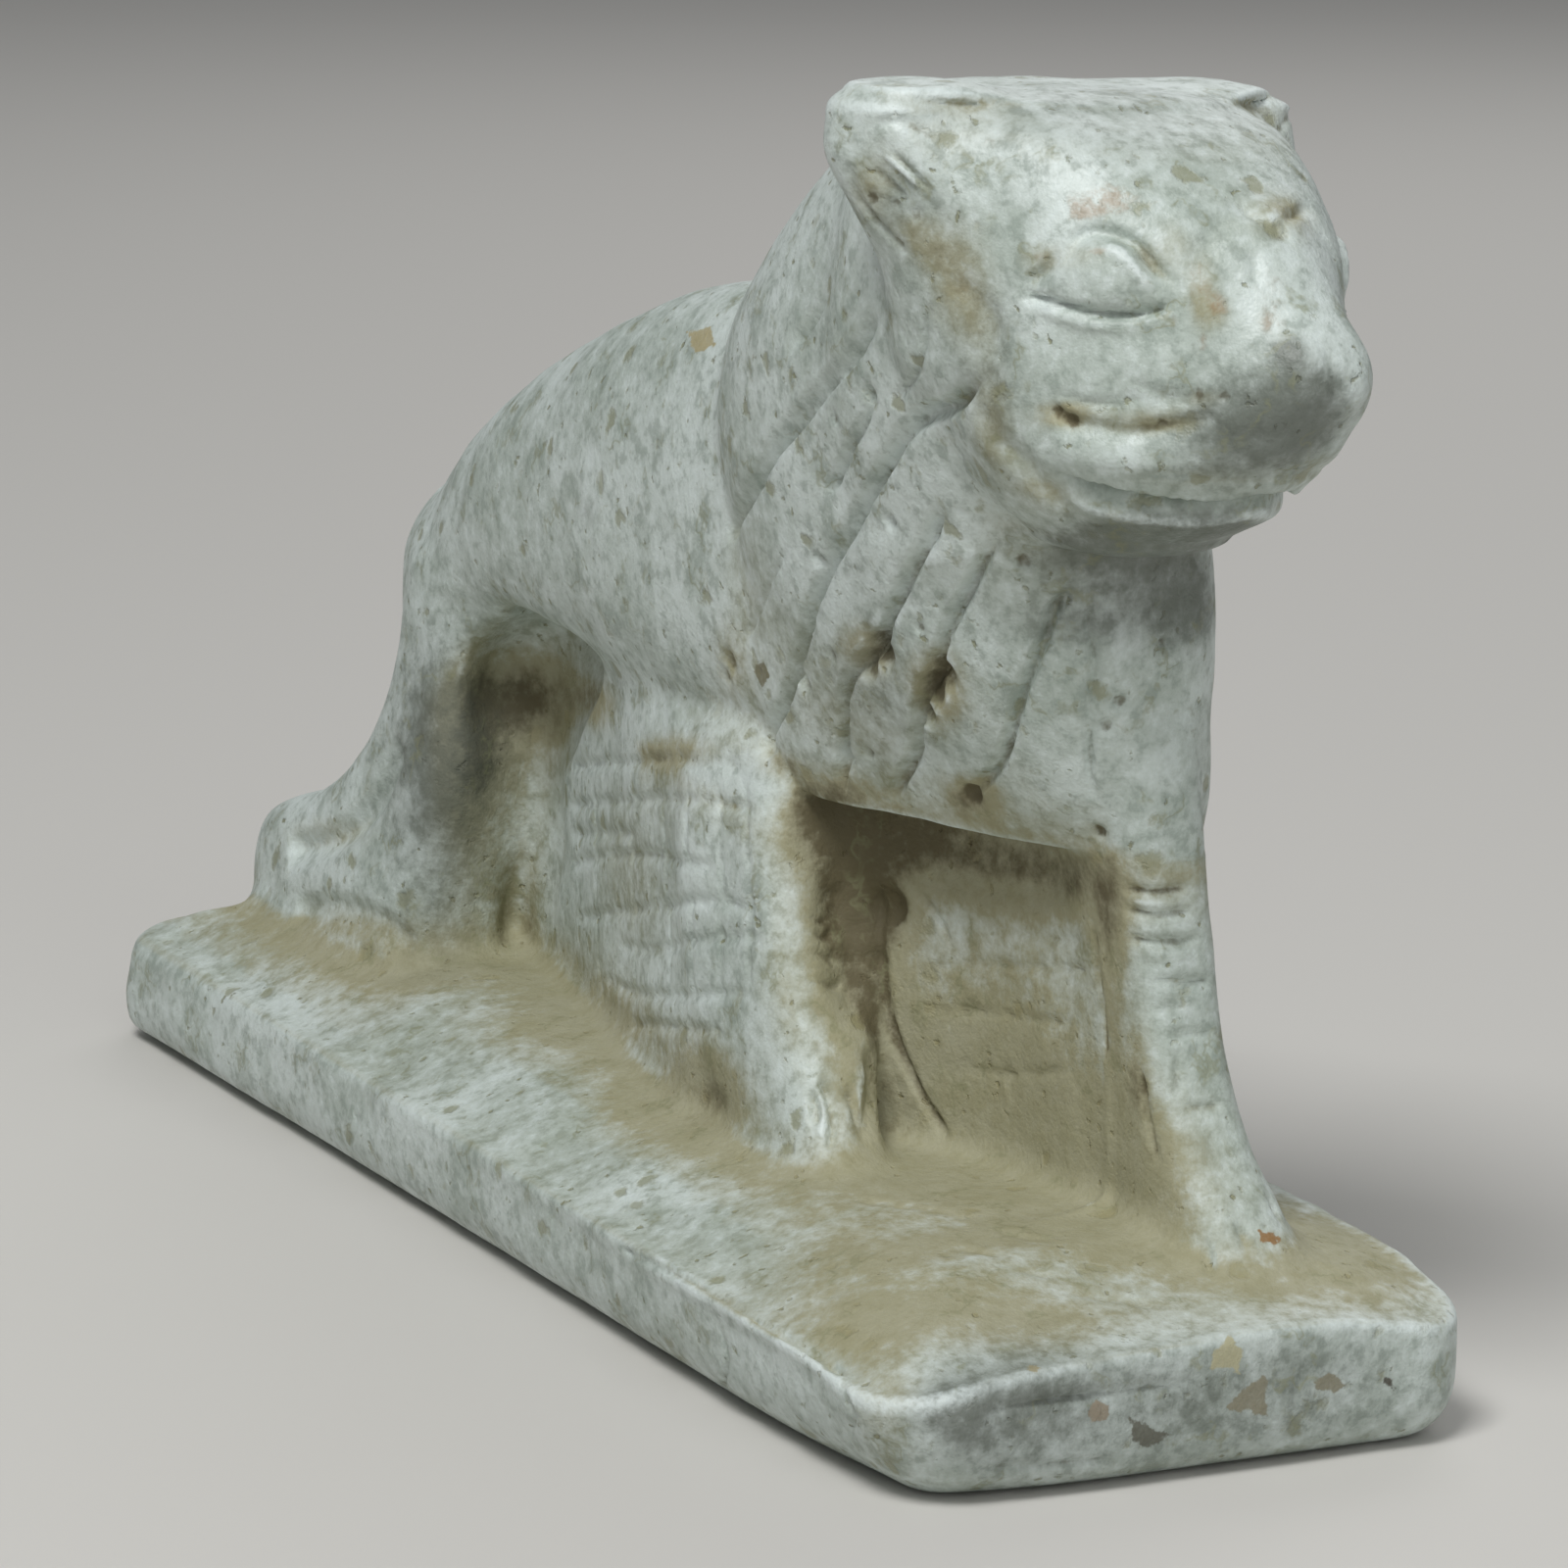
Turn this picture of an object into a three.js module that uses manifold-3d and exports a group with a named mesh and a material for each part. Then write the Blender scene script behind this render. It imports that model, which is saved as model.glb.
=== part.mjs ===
// A small carved stone lioness that walks with her head turned a little to her left.
// Beast, web between the legs and base slab are carved from one block, so the part is
// one solid. Millimetres, +X ahead of the beast, +Y to her left, +Z up. At the end the
// whole solid is moved so that the origin is the middle of its footprint, on the ground.
import * as THREE from 'three';
import { LoftGeometry } from 'three/addons/geometries/LoftGeometry.js';
import { mergeVertices } from 'three/addons/utils/BufferGeometryUtils.js';
import Module from 'manifold-3d';

// Driving sizes: the base slab, and the ground that swells up round the beast
const BASE_BACK = -80.5;
const BASE_FRONT = 84.5;
const BASE_SIDE = 25.2;
const NEAR_EDGE = 9.6;
const FAR_EDGE = 12;
const GROUND = 14.2;

// The head stands over the chest, turned to the beast's left and tipped to that side
const HEAD_X = 62.7;
const HEAD_TURN = THREE.MathUtils.degToRad(15);
const HEAD_TIP = THREE.MathUtils.degToRad(3.6);
const HEAD_TIP_HEIGHT = 80;

// Fineness of the facets
const CAP_ANGLES = [70, 36].map(THREE.MathUtils.degToRad);

const wasm = await Module();
wasm.setup();

// Turns a closed three.js geometry into a solid that can be joined and cut.
function solidOf(geometry) {
  const bare = new THREE.BufferGeometry();
  bare.setAttribute('position', geometry.getAttribute('position'));
  bare.setIndex(geometry.getIndex());
  const merged = mergeVertices(bare, 1e-4);
  return new wasm.Manifold(new wasm.Mesh({
    numProp: 3,
    vertProperties: new Float32Array(merged.attributes.position.array),
    triVerts: new Uint32Array(merged.index.array),
  }));
}

// One ring of a loft: a superellipse whose four quadrants have half-sizes of their own.
// u and v are [low, widest, high] limits, and a power above 2 squares the shoulders.
function ringPoints(u, v, power, turn, scale, sides) {
  const points = [];
  for (let i = 0; i < sides; i += 1) {
    const angle = (i / sides) * 2 * Math.PI;
    const c = Math.cos(angle);
    const s = Math.sin(angle);
    const halfU = c < 0 ? u[1] - u[0] : u[2] - u[1];
    const halfV = s < 0 ? v[1] - v[0] : v[2] - v[1];
    const a = Math.sign(c) * Math.abs(c) ** (2 / power) * halfU * scale;
    const b = Math.sign(s) * Math.abs(s) ** (2 / power) * halfV * scale;
    points.push([
      u[1] + a * Math.cos(turn) - b * Math.sin(turn),
      v[1] + a * Math.sin(turn) + b * Math.cos(turn),
    ]);
  }
  return points;
}

// Gives a function that reads the limits of a loft anywhere between its rows.
function sectionsOf(rows) {
  const samples = rows.flatMap((row) => [...row.u, ...row.v, row.power ?? 2.2, row.turn ?? 0]);
  const spline = new THREE.CubicInterpolant(rows.map((row) => row.at), samples, 8);
  return (at) => {
    const [u0, u1, u2, v0, v1, v2, power, degrees] = spline.evaluate(at);
    return { u: [u0, u1, u2], v: [v0, v1, v2], power, turn: THREE.MathUtils.degToRad(degrees) };
  };
}

// Skins a solid over rows { at, u, v, power, turn } along an axis, x or z. A smooth
// spline runs between the rows, and a rounded cap of the given depth closes each end.
function loft(rows, { axis, steps, sides, caps }) {
  const sectionAt = sectionsOf(rows);
  const first = rows[0].at;
  const last = rows[rows.length - 1].at;
  const rings = [];
  const addRing = (place, at, scale) => {
    const { u: limitsU, v: limitsV, power, turn } = sectionAt(at);
    const ring = ringPoints(limitsU, limitsV, power, turn, scale, sides);
    rings.push(ring.map(([u, v]) => (axis === 'x'
      ? new THREE.Vector3(place, u, v)
      : new THREE.Vector3(u, v, place))));
  };
  CAP_ANGLES.forEach((angle) => {
    addRing(first - caps[0] * Math.sin(angle), first, Math.cos(angle));
  });
  for (let i = 0; i <= steps; i += 1) {
    const place = first + ((last - first) * i) / steps;
    addRing(place, place, 1);
  }
  [...CAP_ANGLES].reverse().forEach((angle) => {
    addRing(last + caps[1] * Math.sin(angle), last, Math.cos(angle));
  });
  return solidOf(new LoftGeometry(rings, { capStart: true, capEnd: true }));
}

// The point of an upright loft's skin at a height, on a bearing from the ring's middle:
// 0 degrees is ahead and negative bearings are on the near side.
function skinPoint(rows, height, bearing) {
  const { u, v, power, turn } = sectionsOf(rows)(height);
  const angle = THREE.MathUtils.degToRad(bearing) - turn;
  const c = Math.cos(angle);
  const s = Math.sin(angle);
  const halfU = c < 0 ? u[1] - u[0] : u[2] - u[1];
  const halfV = s < 0 ? v[1] - v[0] : v[2] - v[1];
  const reach = (Math.abs(c / halfU) ** power + Math.abs(s / halfV) ** power) ** (-1 / power);
  return new THREE.Vector3(
    u[1] + reach * Math.cos(angle + turn),
    v[1] + reach * Math.sin(angle + turn),
    height,
  );
}

// A chisel cut: a slim four-sided rod along a curve, for cutting away.
function chisel(points, radius, steps) {
  const path = new THREE.CatmullRomCurve3(points);
  const section = new THREE.Shape([
    new THREE.Vector2(radius, 0),
    new THREE.Vector2(0, radius),
    new THREE.Vector2(-radius, 0),
    new THREE.Vector2(0, -radius),
  ]);
  return solidOf(new THREE.ExtrudeGeometry(section, {
    steps, extrudePath: path, bevelEnabled: false,
  }));
}

// Joins a list of solids into one.
function joined(solids) {
  return solids.reduce((sum, solid) => sum.add(solid));
}

// Height of the slab's upper edge: thinner on the near side, worn low at the front corners.
function edgeHeight(x, y) {
  const nearDip = 1.6 * Math.exp(-(((x - BASE_FRONT) / 11) ** 2) - ((y + BASE_SIDE) / 8) ** 2);
  const farDip = 2.6 * Math.exp(-(((x - BASE_FRONT) / 8) ** 2) - ((y - BASE_SIDE) / 9) ** 2);
  return THREE.MathUtils.mapLinear(y, -BASE_SIDE, BASE_SIDE, NEAR_EDGE, FAR_EDGE) - nearDip - farDip;
}

// The base: rings of one outline, rounded under, upright, then swelling up to the beast.
function base() {
  const outline = new THREE.Shape();
  const back = BASE_BACK;
  const front = BASE_FRONT;
  const side = BASE_SIDE;
  outline.moveTo(back + 6, -side);
  outline.lineTo(front - 12, -side);
  outline.quadraticCurveTo(front - 1, -side, front, -side + 7);
  outline.lineTo(front, side - 6);
  outline.quadraticCurveTo(front - 0.5, side, front - 8, side);
  outline.lineTo(back + 6, side);
  outline.quadraticCurveTo(back, side, back, side - 6);
  outline.lineTo(back, -side + 6);
  outline.quadraticCurveTo(back, -side, back + 6, -side);
  const spaced = outline.getSpacedPoints(44).slice(0, 44);
  const middle = (front + back) / 2;
  const half = (front - back) / 2;
  // The near face leans out below at the back and in below at the front.
  const lean = (x, y, low) => low * (y < 0 ? -y / side : 0) * ((x - back) / (front - back) - 0.45) * 4;
  // The near front corner is worn round underneath.
  const worn = (x, y) => Math.exp(-(((x - front) / 15) ** 2) - ((y + side) / 10) ** 2);
  const ring = (inset, low, height, wear = 0) => spaced.map((p) => {
    const cut = inset + wear * worn(p.x, p.y);
    const x = middle + (p.x - middle) * (1 - cut / half);
    const y = p.y * (1 - cut / side) + lean(p.x, p.y, low);
    return new THREE.Vector3(x, y, height(x, y));
  });
  const swell = (share) => (x, y) => THREE.MathUtils.lerp(edgeHeight(x, y), GROUND, share);
  const rings = [
    ring(2.2, 1, () => 0, 5),
    ring(0.8, 1.2, () => 1.1, 2.2),
    ring(0.2, 0.9, () => 3, 0.4),
    ring(0, 0.5, (x, y) => edgeHeight(x, y) - 2),
    ring(0.5, 0.4, (x, y) => edgeHeight(x, y) - 0.6),
    ring(1.9, 0, swell(0.05)),
    ring(5.5, 0, swell(0.4)),
    ring(9, 0, swell(0.7)),
    ring(12.5, 0, swell(0.9)),
    ring(17, 0, () => GROUND),
  ];
  return solidOf(new LoftGeometry(rings, { capStart: true, capEnd: true }));
}

function trunk() {
  return loft([
    { at: -50, u: [-7, 1, 9.5], v: [34, 45, 55.5] },
    { at: -42, u: [-9, 1, 11], v: [37, 49, 61] },
    { at: -25, u: [-10.5, 1, 12], v: [42, 55, 69.4] },
    { at: -5, u: [-11, 1, 13], v: [43, 58, 76.3], power: 2.4 },
    { at: 12, u: [-11, 1, 13], v: [43.5, 58, 79.8], power: 2.7 },
    { at: 30, u: [-9.5, 1, 13], v: [43.5, 60, 80], power: 2.7 },
    { at: 50, u: [-5, 3, 12], v: [44, 61, 78] },
  ], { axis: 'x', steps: 9, sides: 18, caps: [7, 6] });
}

// The cape-like mane: its hem runs slantwise from foreleg to foreleg, so the low rings
// are turned, and it stands a little proud of the trunk behind.
const MANE_ROWS = [
  { at: 42.6, u: [26, 44, 64], v: [-3.4, 3.2, 10], power: 3.2, turn: 20 },
  { at: 46, u: [23.5, 44, 65.4], v: [-5.2, 3, 11.4], power: 2.9, turn: 17 },
  { at: 52, u: [21, 44, 66.6], v: [-8, 3, 13.4], power: 2.6, turn: 12 },
  { at: 60, u: [20, 44, 68], v: [-10.5, 2, 15.3], power: 2.4, turn: 8 },
  { at: 70, u: [16, 43, 67], v: [-12.3, 1, 15.2], power: 2.3, turn: 5 },
  { at: 78, u: [17, 44, 66], v: [-12.8, 0, 14.6], power: 2.2, turn: 1 },
  { at: 84, u: [22, 46, 66], v: [-12, 0, 13.5], power: 2.1, turn: 0 },
  { at: 90, u: [29, 50, 66], v: [-11, 0, 12], power: 2, turn: 0 },
  { at: 95, u: [37, 54, 66], v: [-9.5, 0, 10], power: 2, turn: 0 },
];

function mane() {
  return loft(MANE_ROWS, { axis: 'z', steps: 12, sides: 24, caps: [0.8, 4] });
}

// The long locks of the mane: cuts that run down and back from behind the cheek.
// Each is a start, a middle and an end, as [height, bearing] on the mane's skin.
const LOCKS = [
  { cut: [[84, -82], [81.5, -92], [78.8, -100]], radius: 1 },
  { cut: [[83.5, -50], [72.1, -90], [63, -147]], radius: 1.1 },
  { cut: [[77, -46], [72.5, -59], [68.3, -73]], radius: 0.9 },
  { cut: [[77, -29], [63.9, -74], [45.5, -142]], radius: 1.5 },
  { cut: [[69.2, -28], [56.5, -70], [45, -117]], radius: 1.4 },
  { cut: [[67, -18], [56, -39], [45, -84]], radius: 1.4 },
  { cut: [[64, -5], [54.9, -16], [46.4, -30]], radius: 1.1 },
  { cut: [[62.7, -4], [55, -4], [47.5, 0]], radius: 1 },
];

// The locks of the far side answer the near ones and are fewer.
const FAR_LOCKS = [1, 3, 4, 6];

function lockCuts() {
  const cutFor = (lock, side) => {
    const [start, middle, end] = lock.cut;
    const points = [];
    for (let i = 0; i <= 8; i += 1) {
      const t = i / 8;
      const weights = [(1 - t) * (1 - 2 * t), 4 * t * (1 - t), t * (2 * t - 1)];
      const mix = (k) => start[k] * weights[0] + middle[k] * weights[1] + end[k] * weights[2];
      points.push(skinPoint(MANE_ROWS, mix(0), side * mix(1)));
    }
    return chisel(points, lock.radius, 7);
  };
  const near = LOCKS.map((lock) => cutFor(lock, 1));
  const far = FAR_LOCKS.map((index) => cutFor(LOCKS[index], -1));
  return joined([...near, ...far]);
}

// Rings cut across the front of the left foreleg, close together under the mane, and
// two clefts between the toes of each forepaw.
function legCuts() {
  const rings = [40, 38, 35.8, 33, 29.3, 24.4].map((height, i) => {
    const front = THREE.MathUtils.mapLinear(height, 44, 20, 66, 69.8);
    const points = [3.8, 8.6, 13.4].map((y) => (
      new THREE.Vector3(front - 0.09 * (y - 8.6) ** 2, y, height)));
    return chisel(points, i < 3 ? 0.6 : 0.45, 4);
  });
  const cleft = (y, steps) => chisel(steps.map(([x, z]) => new THREE.Vector3(x, y, z)), 0.7, 3);
  const clefts = [
    ...[9.4, 12.4].map((y) => cleft(y, [[69.6, 21], [74.2, 15.4], [77, 11.5]])),
    ...[-9.6, -7.2].map((y) => cleft(y, [[36, 23.8], [41, 17.6], [44.2, 12.5]])),
  ];
  return joined([...rings, ...clefts]);
}

// Slanting lines scored across the near face of the web, behind and ahead of the foreleg.
function webCuts() {
  const slant = Math.tan(THREE.MathUtils.degToRad(15));
  const score = (face, height) => chisel(face.map(([x, y]) => (
    new THREE.Vector3(x, y, height + (x - face[0][0]) * slant)
  )), 0.5, 1);
  const cuts = [];
  for (let i = 0; i < 4; i += 1) {
    cuts.push(score([[-28, -2.9], [-8, -6.6], [8, -9.4]], 17.6 + 5.4 * i));
  }
  for (let i = 0; i < 4; i += 1) {
    cuts.push(score([[36, 0.5], [60, 6.1]], 19 + 4.6 * i));
  }
  return joined(cuts);
}

// The head along its own forward axis, before it is turned.
const HEAD_ROWS = [
  { at: 68.6, u: [1, 8, 16.5], v: [-7.6, 0, 7.6], power: 2 },
  { at: 71, u: [-3, 8, 21.6], v: [-10.6, 0, 10.6], power: 1.8 },
  { at: 73.5, u: [-6, 8, 23.8], v: [-12.4, 0, 12.4], power: 1.7 },
  { at: 76, u: [-8, 7, 26.6], v: [-13.6, 0, 13.6], power: 1.6 },
  { at: 80, u: [-10, 7, 27.6], v: [-14.5, 0, 14.5], power: 1.55 },
  { at: 84, u: [-10, 6, 26.4], v: [-15, 0, 15], power: 1.65 },
  { at: 88, u: [-11, 5, 24.8], v: [-15.3, 0, 15.3], power: 1.8 },
  { at: 92, u: [-12, 3, 21.8], v: [-15.3, 0, 15.3], power: 1.95 },
  { at: 95, u: [-12.6, 2, 18.6], v: [-15, 0, 15], power: 2 },
  { at: 97.6, u: [-12.8, 1, 14.2], v: [-14.2, 0, 14.2], power: 2.1 },
  { at: 99.2, u: [-12, 0, 9.5], v: [-12.6, 0, 12.6], power: 2.2 },
];

function head() {
  const skull = loft(HEAD_ROWS, { axis: 'z', steps: 14, sides: 26, caps: [1.6, 1.2] });
  const nose = loft([
    { at: 74.5, u: [12, 18, 23.6], v: [-6.4, 0, 6.4] },
    { at: 79, u: [14, 22.5, 28.8], v: [-6.4, 0, 6.4] },
    { at: 83, u: [14, 22.5, 30.4], v: [-5.4, 0, 5.4] },
    { at: 88, u: [12, 19, 25.6], v: [-4.6, 0, 4.6] },
    { at: 92, u: [10, 15, 22.7], v: [-4.4, 0, 4.4] },
  ], { axis: 'z', steps: 6, sides: 12, caps: [1, 2] });
  const scoops = [-1, 1].map((side) => egg([3.6, side * 17.6, 94.6], [3.2, 2.6, 5.4]));
  return skull
    .add(nose)
    .add(ear(-1, NEAR_EAR))
    .add(ear(1, FAR_EAR))
    .subtract(joined(scoops))
    .subtract(faceLines());
}

// A ball or egg of the given radii, to scoop a hollow with.
function egg(centre, radii) {
  const geometry = new THREE.SphereGeometry(1, 10, 7);
  geometry.scale(...radii);
  geometry.translate(...centre);
  return solidOf(geometry);
}

// Lines cut in the face: the mouth, and on each side the lip crease, lower lid and brow.
// The eye is the lens of stone left standing between lid and brow.
function faceLines() {
  const along = (low, high, heightAt) => {
    const points = [];
    for (let i = 0; i <= 6; i += 1) {
      const bearing = THREE.MathUtils.lerp(low, high, i / 6);
      points.push(skinPoint(HEAD_ROWS, heightAt(bearing, i / 6), bearing));
    }
    return points;
  };
  const arc = (start, bulge, end) => (_, t) => (
    THREE.MathUtils.lerp(start, end, t) + 4 * bulge * t * (1 - t)
  );
  const cuts = [chisel(along(-62, 62, (bearing) => 72.7 + 0.9 * (bearing / 62) ** 2), 0.9, 10)];
  [-1, 1].forEach((side) => {
    cuts.push(chisel(along(62 * side, 20 * side, arc(78, -0.4, 78.6)), 0.6, 4));
    cuts.push(chisel(along(72 * side, 26 * side, arc(86.9, -1.6, 87.3)), 0.6, 6));
    cuts.push(chisel(along(72 * side, 26 * side, arc(87.4, 3, 88)), 0.55, 6));
  });
  return joined(cuts);
}

// The ears by the outer edge of each row, and the power and height of their tops: the
// near one is rounded and the far one comes to a corner.
const NEAR_EAR = { outer: [14, 15.6, 18.2, 20.3, 20.5], top: 98.2, power: 2.6, cap: 2.2 };
const FAR_EAR = { outer: [14, 15.8, 19, 21.2, 20.6], top: 98.6, power: 3.2, cap: 1.2 };

// A short broad ear, standing out from the corner of the crown; side is -1 or 1.
function ear(side, { outer, top, power, cap }) {
  const span = (inner, edge) => {
    const ends = [side * inner, (side * (inner + edge)) / 2, side * edge];
    return side < 0 ? ends.reverse() : ends;
  };
  return loft([
    { at: 82, u: [-4, 1, 7], v: span(8, outer[0]), power },
    { at: 87, u: [-4.5, 1, 7.4], v: span(8, outer[1]), power },
    { at: 91, u: [-5.5, 0.5, 6.8], v: span(8, outer[2]), power },
    { at: 95, u: [-6.6, -0.5, 5.2], v: span(9, outer[3]), power },
    { at: top, u: [-6.4, -1, 3.4], v: span(10, outer[4]), power },
  ], { axis: 'z', steps: 6, sides: 14, caps: [4, cap] });
}

// The legs, each an upright slab that swells into its paw.
function legs() {
  const rightFore = loft([
    { at: 10, u: [26, 35, 44.4], v: [-11.2, -7.8, -3.4], power: 2.4 },
    { at: 15, u: [24, 34, 42.8], v: [-11.2, -7.8, -2.8], power: 2.5 },
    { at: 20, u: [20, 30, 39.4], v: [-11, -7, -1.6], power: 2.8 },
    { at: 25, u: [17, 26, 36.2], v: [-10.8, -6.5, -0.6], power: 3.4 },
    { at: 32, u: [16, 24, 33.4], v: [-10.6, -6, 0], power: 4 },
    { at: 38, u: [16, 23, 32], v: [-10.4, -5.5, 0.4], power: 4 },
    { at: 44, u: [17, 22, 31], v: [-9, -4, 1], power: 4 },
  ], { axis: 'z', steps: 9, sides: 14, caps: [1, 2] });
  const leftFore = loft([
    { at: 10, u: [57, 67, 76.6], v: [6.3, 11, 17], power: 2.4 },
    { at: 15, u: [56, 66, 74.4], v: [6.2, 11, 16], power: 2.6 },
    { at: 20, u: [55, 63, 70.4], v: [6, 10, 14.4], power: 3.2 },
    { at: 30, u: [53.6, 61, 67], v: [5.4, 9.6, 12.9], power: 3.4 },
    { at: 38, u: [52.4, 60, 66.4], v: [4.7, 9, 12.2], power: 3.2 },
    { at: 44, u: [51, 59, 66.4], v: [3.7, 8, 12], power: 3 },
    { at: 52, u: [50, 58, 66.6], v: [2.4, 7, 12], power: 2.8 },
  ], { axis: 'z', steps: 9, sides: 14, caps: [1, 6] });
  const rightHind = loft([
    { at: 9, u: [-78.5, -56, -36], v: [-15, -8, -3], power: 4 },
    { at: 17, u: [-78.5, -56, -36.6], v: [-15, -8, -3], power: 3.8 },
    { at: 20.5, u: [-76, -55, -37], v: [-14.4, -8, -2], power: 3.6 },
    { at: 25, u: [-64, -50, -36.6], v: [-13, -7, 0], power: 3.6 },
    { at: 31, u: [-54.5, -46, -35], v: [-12, -6, 0], power: 3.4 },
    { at: 39, u: [-50.5, -43, -32.6], v: [-10.8, -3, 3], power: 3 },
    { at: 47, u: [-50, -40, -30], v: [-9.4, 0, 6], power: 2.5 },
  ], { axis: 'z', steps: 10, sides: 18, caps: [1, 5] });
  const leftHind = loft([
    { at: 10, u: [-36, -20, -5], v: [5, 9, 15.5], power: 3 },
    { at: 16, u: [-38, -22, -7], v: [5, 9, 15], power: 3 },
    { at: 22, u: [-42, -30, -17], v: [4, 8, 14], power: 3 },
    { at: 34, u: [-50, -37, -22], v: [3, 8, 13.5], power: 3 },
    { at: 47, u: [-52, -39, -25], v: [2, 7, 12], power: 2.5 },
  ], { axis: 'z', steps: 8, sides: 14, caps: [1, 5] });
  return joined([rightFore, leftFore, rightHind, leftHind]);
}

// The haunches close behind the legs, and the tail hangs against them to the ground.
function haunches() {
  const rear = loft([
    { at: 10, u: [-61, -50, -40], v: [-7, 1, 9.5], power: 3 },
    { at: 30, u: [-57.5, -48, -39], v: [-8, 1, 10], power: 2.8 },
    { at: 47, u: [-55, -46, -36], v: [-8.5, 1, 11], power: 2.4 },
  ], { axis: 'z', steps: 5, sides: 18, caps: [1, 7] });
  const tail = loft([
    { at: 11, u: [-66, -62.5, -56], v: [-2.6, 1.6, 5.4] },
    { at: 20, u: [-63, -60, -55], v: [-1.4, 1.4, 4.2] },
    { at: 34, u: [-60, -57.5, -52], v: [-1.2, 1.2, 3.6] },
    { at: 46, u: [-57.6, -54, -48], v: [-1.8, 1, 3.8] },
  ], { axis: 'z', steps: 5, sides: 10, caps: [1, 3] });
  return rear.add(tail);
}

// The wall of stone left standing between the legs: flush with the near foreleg, and
// falling back towards the hind leg and ahead of the foreleg.
function web() {
  return loft([
    { at: -54, u: [-1.5, 2, 6], v: [8, 26, 44], power: 9 },
    { at: -30, u: [-2.4, 2, 7], v: [8, 28, 50], power: 9 },
    { at: -8, u: [-6.4, 2, 8], v: [8, 28, 46], power: 9 },
    { at: 8, u: [-9.2, 2, 8], v: [8, 28, 46], power: 9 },
    { at: 24, u: [-9.6, 2, 8], v: [8, 28, 46], power: 9 },
    { at: 35, u: [0, 4, 9], v: [8, 28, 46], power: 9 },
    { at: 60, u: [6.2, 10, 13], v: [8, 28, 46], power: 9 },
  ], { axis: 'x', steps: 9, sides: 16, caps: [0.5, 0.5] });
}

// The hollow of the near groin, cut in under the belly between hind leg and web.
function groin() {
  return loft([
    { at: 32, u: [-36, -33, -29], v: [-6.4, -3.8, -1.8] },
    { at: 37, u: [-37.6, -32, -22], v: [-8.2, -4.5, -1.2] },
    { at: 42, u: [-36, -29, -15], v: [-8.4, -4.5, -0.8] },
    { at: 46, u: [-30, -24, -10], v: [-7.4, -4, -0.6] },
  ], { axis: 'z', steps: 5, sides: 12, caps: [10, 2] });
}

const turned = new THREE.Matrix4().makeRotationZ(HEAD_TURN)
  .setPosition(HEAD_X, 0, HEAD_TIP_HEIGHT)
  .multiply(new THREE.Matrix4().makeRotationX(-HEAD_TIP))
  .multiply(new THREE.Matrix4().makeTranslation(0, 0, -HEAD_TIP_HEIGHT));

const statue = base()
  .add(trunk())
  .add(mane())
  .add(legs())
  .add(haunches())
  .add(web())
  .subtract(groin())
  .add(head().transform(turned.elements))
  .subtract(lockCuts())
  .subtract(legCuts())
  .subtract(webCuts());

// Gives a solid back as a three.js geometry.
function geometryOf(solid) {
  const mesh = solid.getMesh();
  const geometry = new THREE.BufferGeometry();
  geometry.setAttribute('position', new THREE.BufferAttribute(mesh.vertProperties, 3));
  geometry.setIndex(new THREE.BufferAttribute(mesh.triVerts, 1));
  geometry.computeVertexNormals();
  return geometry;
}

const stone = new THREE.MeshStandardMaterial({ color: 0xb9bdb0, roughness: 0.55, metalness: 0 });
const part = new THREE.Group();
const body = new THREE.Mesh(geometryOf(statue), stone);
body.name = 'lioness_statue';
const box = new THREE.Box3().setFromObject(body);
const middle = box.getCenter(new THREE.Vector3());
body.geometry.translate(-middle.x, -middle.y, -box.min.z);
part.add(body);

export default part;
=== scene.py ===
"""A small carved stone lioness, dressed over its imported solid.

The whole statue is one piece of stone, so the scene holds one mesh. Its form is a field
of signed distances made from the same rows of limits as the solid's source, blended
where the carver left soft joints. The field is turned into a fine mesh, and the carving
(locks, eyes, mouth, rings, hatching, chips and pits) is then pressed into that mesh.
All sizes are millimetres in the carver's frame until the mesh is made: +X ahead of the
beast, +Y to her left, +Z up, with the underside at zero.
"""
import logging
import math
from dataclasses import dataclass, field
from enum import Enum
from typing import Any, Dict, List, Sequence, Tuple

import bpy
import numpy as np
from mathutils import Matrix, Vector


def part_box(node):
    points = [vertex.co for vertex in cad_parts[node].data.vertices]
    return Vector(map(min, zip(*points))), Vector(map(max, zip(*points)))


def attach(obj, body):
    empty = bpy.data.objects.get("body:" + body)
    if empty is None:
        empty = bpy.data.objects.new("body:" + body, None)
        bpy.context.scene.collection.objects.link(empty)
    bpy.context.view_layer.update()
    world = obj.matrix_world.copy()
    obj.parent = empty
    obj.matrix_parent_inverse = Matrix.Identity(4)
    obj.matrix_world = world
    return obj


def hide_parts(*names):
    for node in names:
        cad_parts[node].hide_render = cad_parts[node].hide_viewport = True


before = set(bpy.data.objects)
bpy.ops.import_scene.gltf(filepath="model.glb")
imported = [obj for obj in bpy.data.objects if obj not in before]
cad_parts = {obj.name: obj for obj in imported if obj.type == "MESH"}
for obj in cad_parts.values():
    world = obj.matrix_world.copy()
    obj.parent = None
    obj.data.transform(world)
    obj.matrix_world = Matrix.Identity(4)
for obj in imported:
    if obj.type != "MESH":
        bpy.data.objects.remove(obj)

LOG = logging.getLogger("lioness")
MM = 0.001
Array = np.ndarray
Limits = Tuple[float, float, float]
Point = Tuple[float, float, float]
Pixel = Tuple[float, float]
Colour = Tuple[float, ...]


def smoothstep(low: float, high: float, value: Array) -> Array:
    """Eases from 0 at low to 1 at high.

    Args:
        low: value where the result leaves 0.
        high: value where the result reaches 1.
        value: where to read it.

    Returns:
        The eased share for each value.
    """
    t = np.clip((value - low) / (high - low), 0.0, 1.0)
    return t * t * (3.0 - 2.0 * t)


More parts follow.
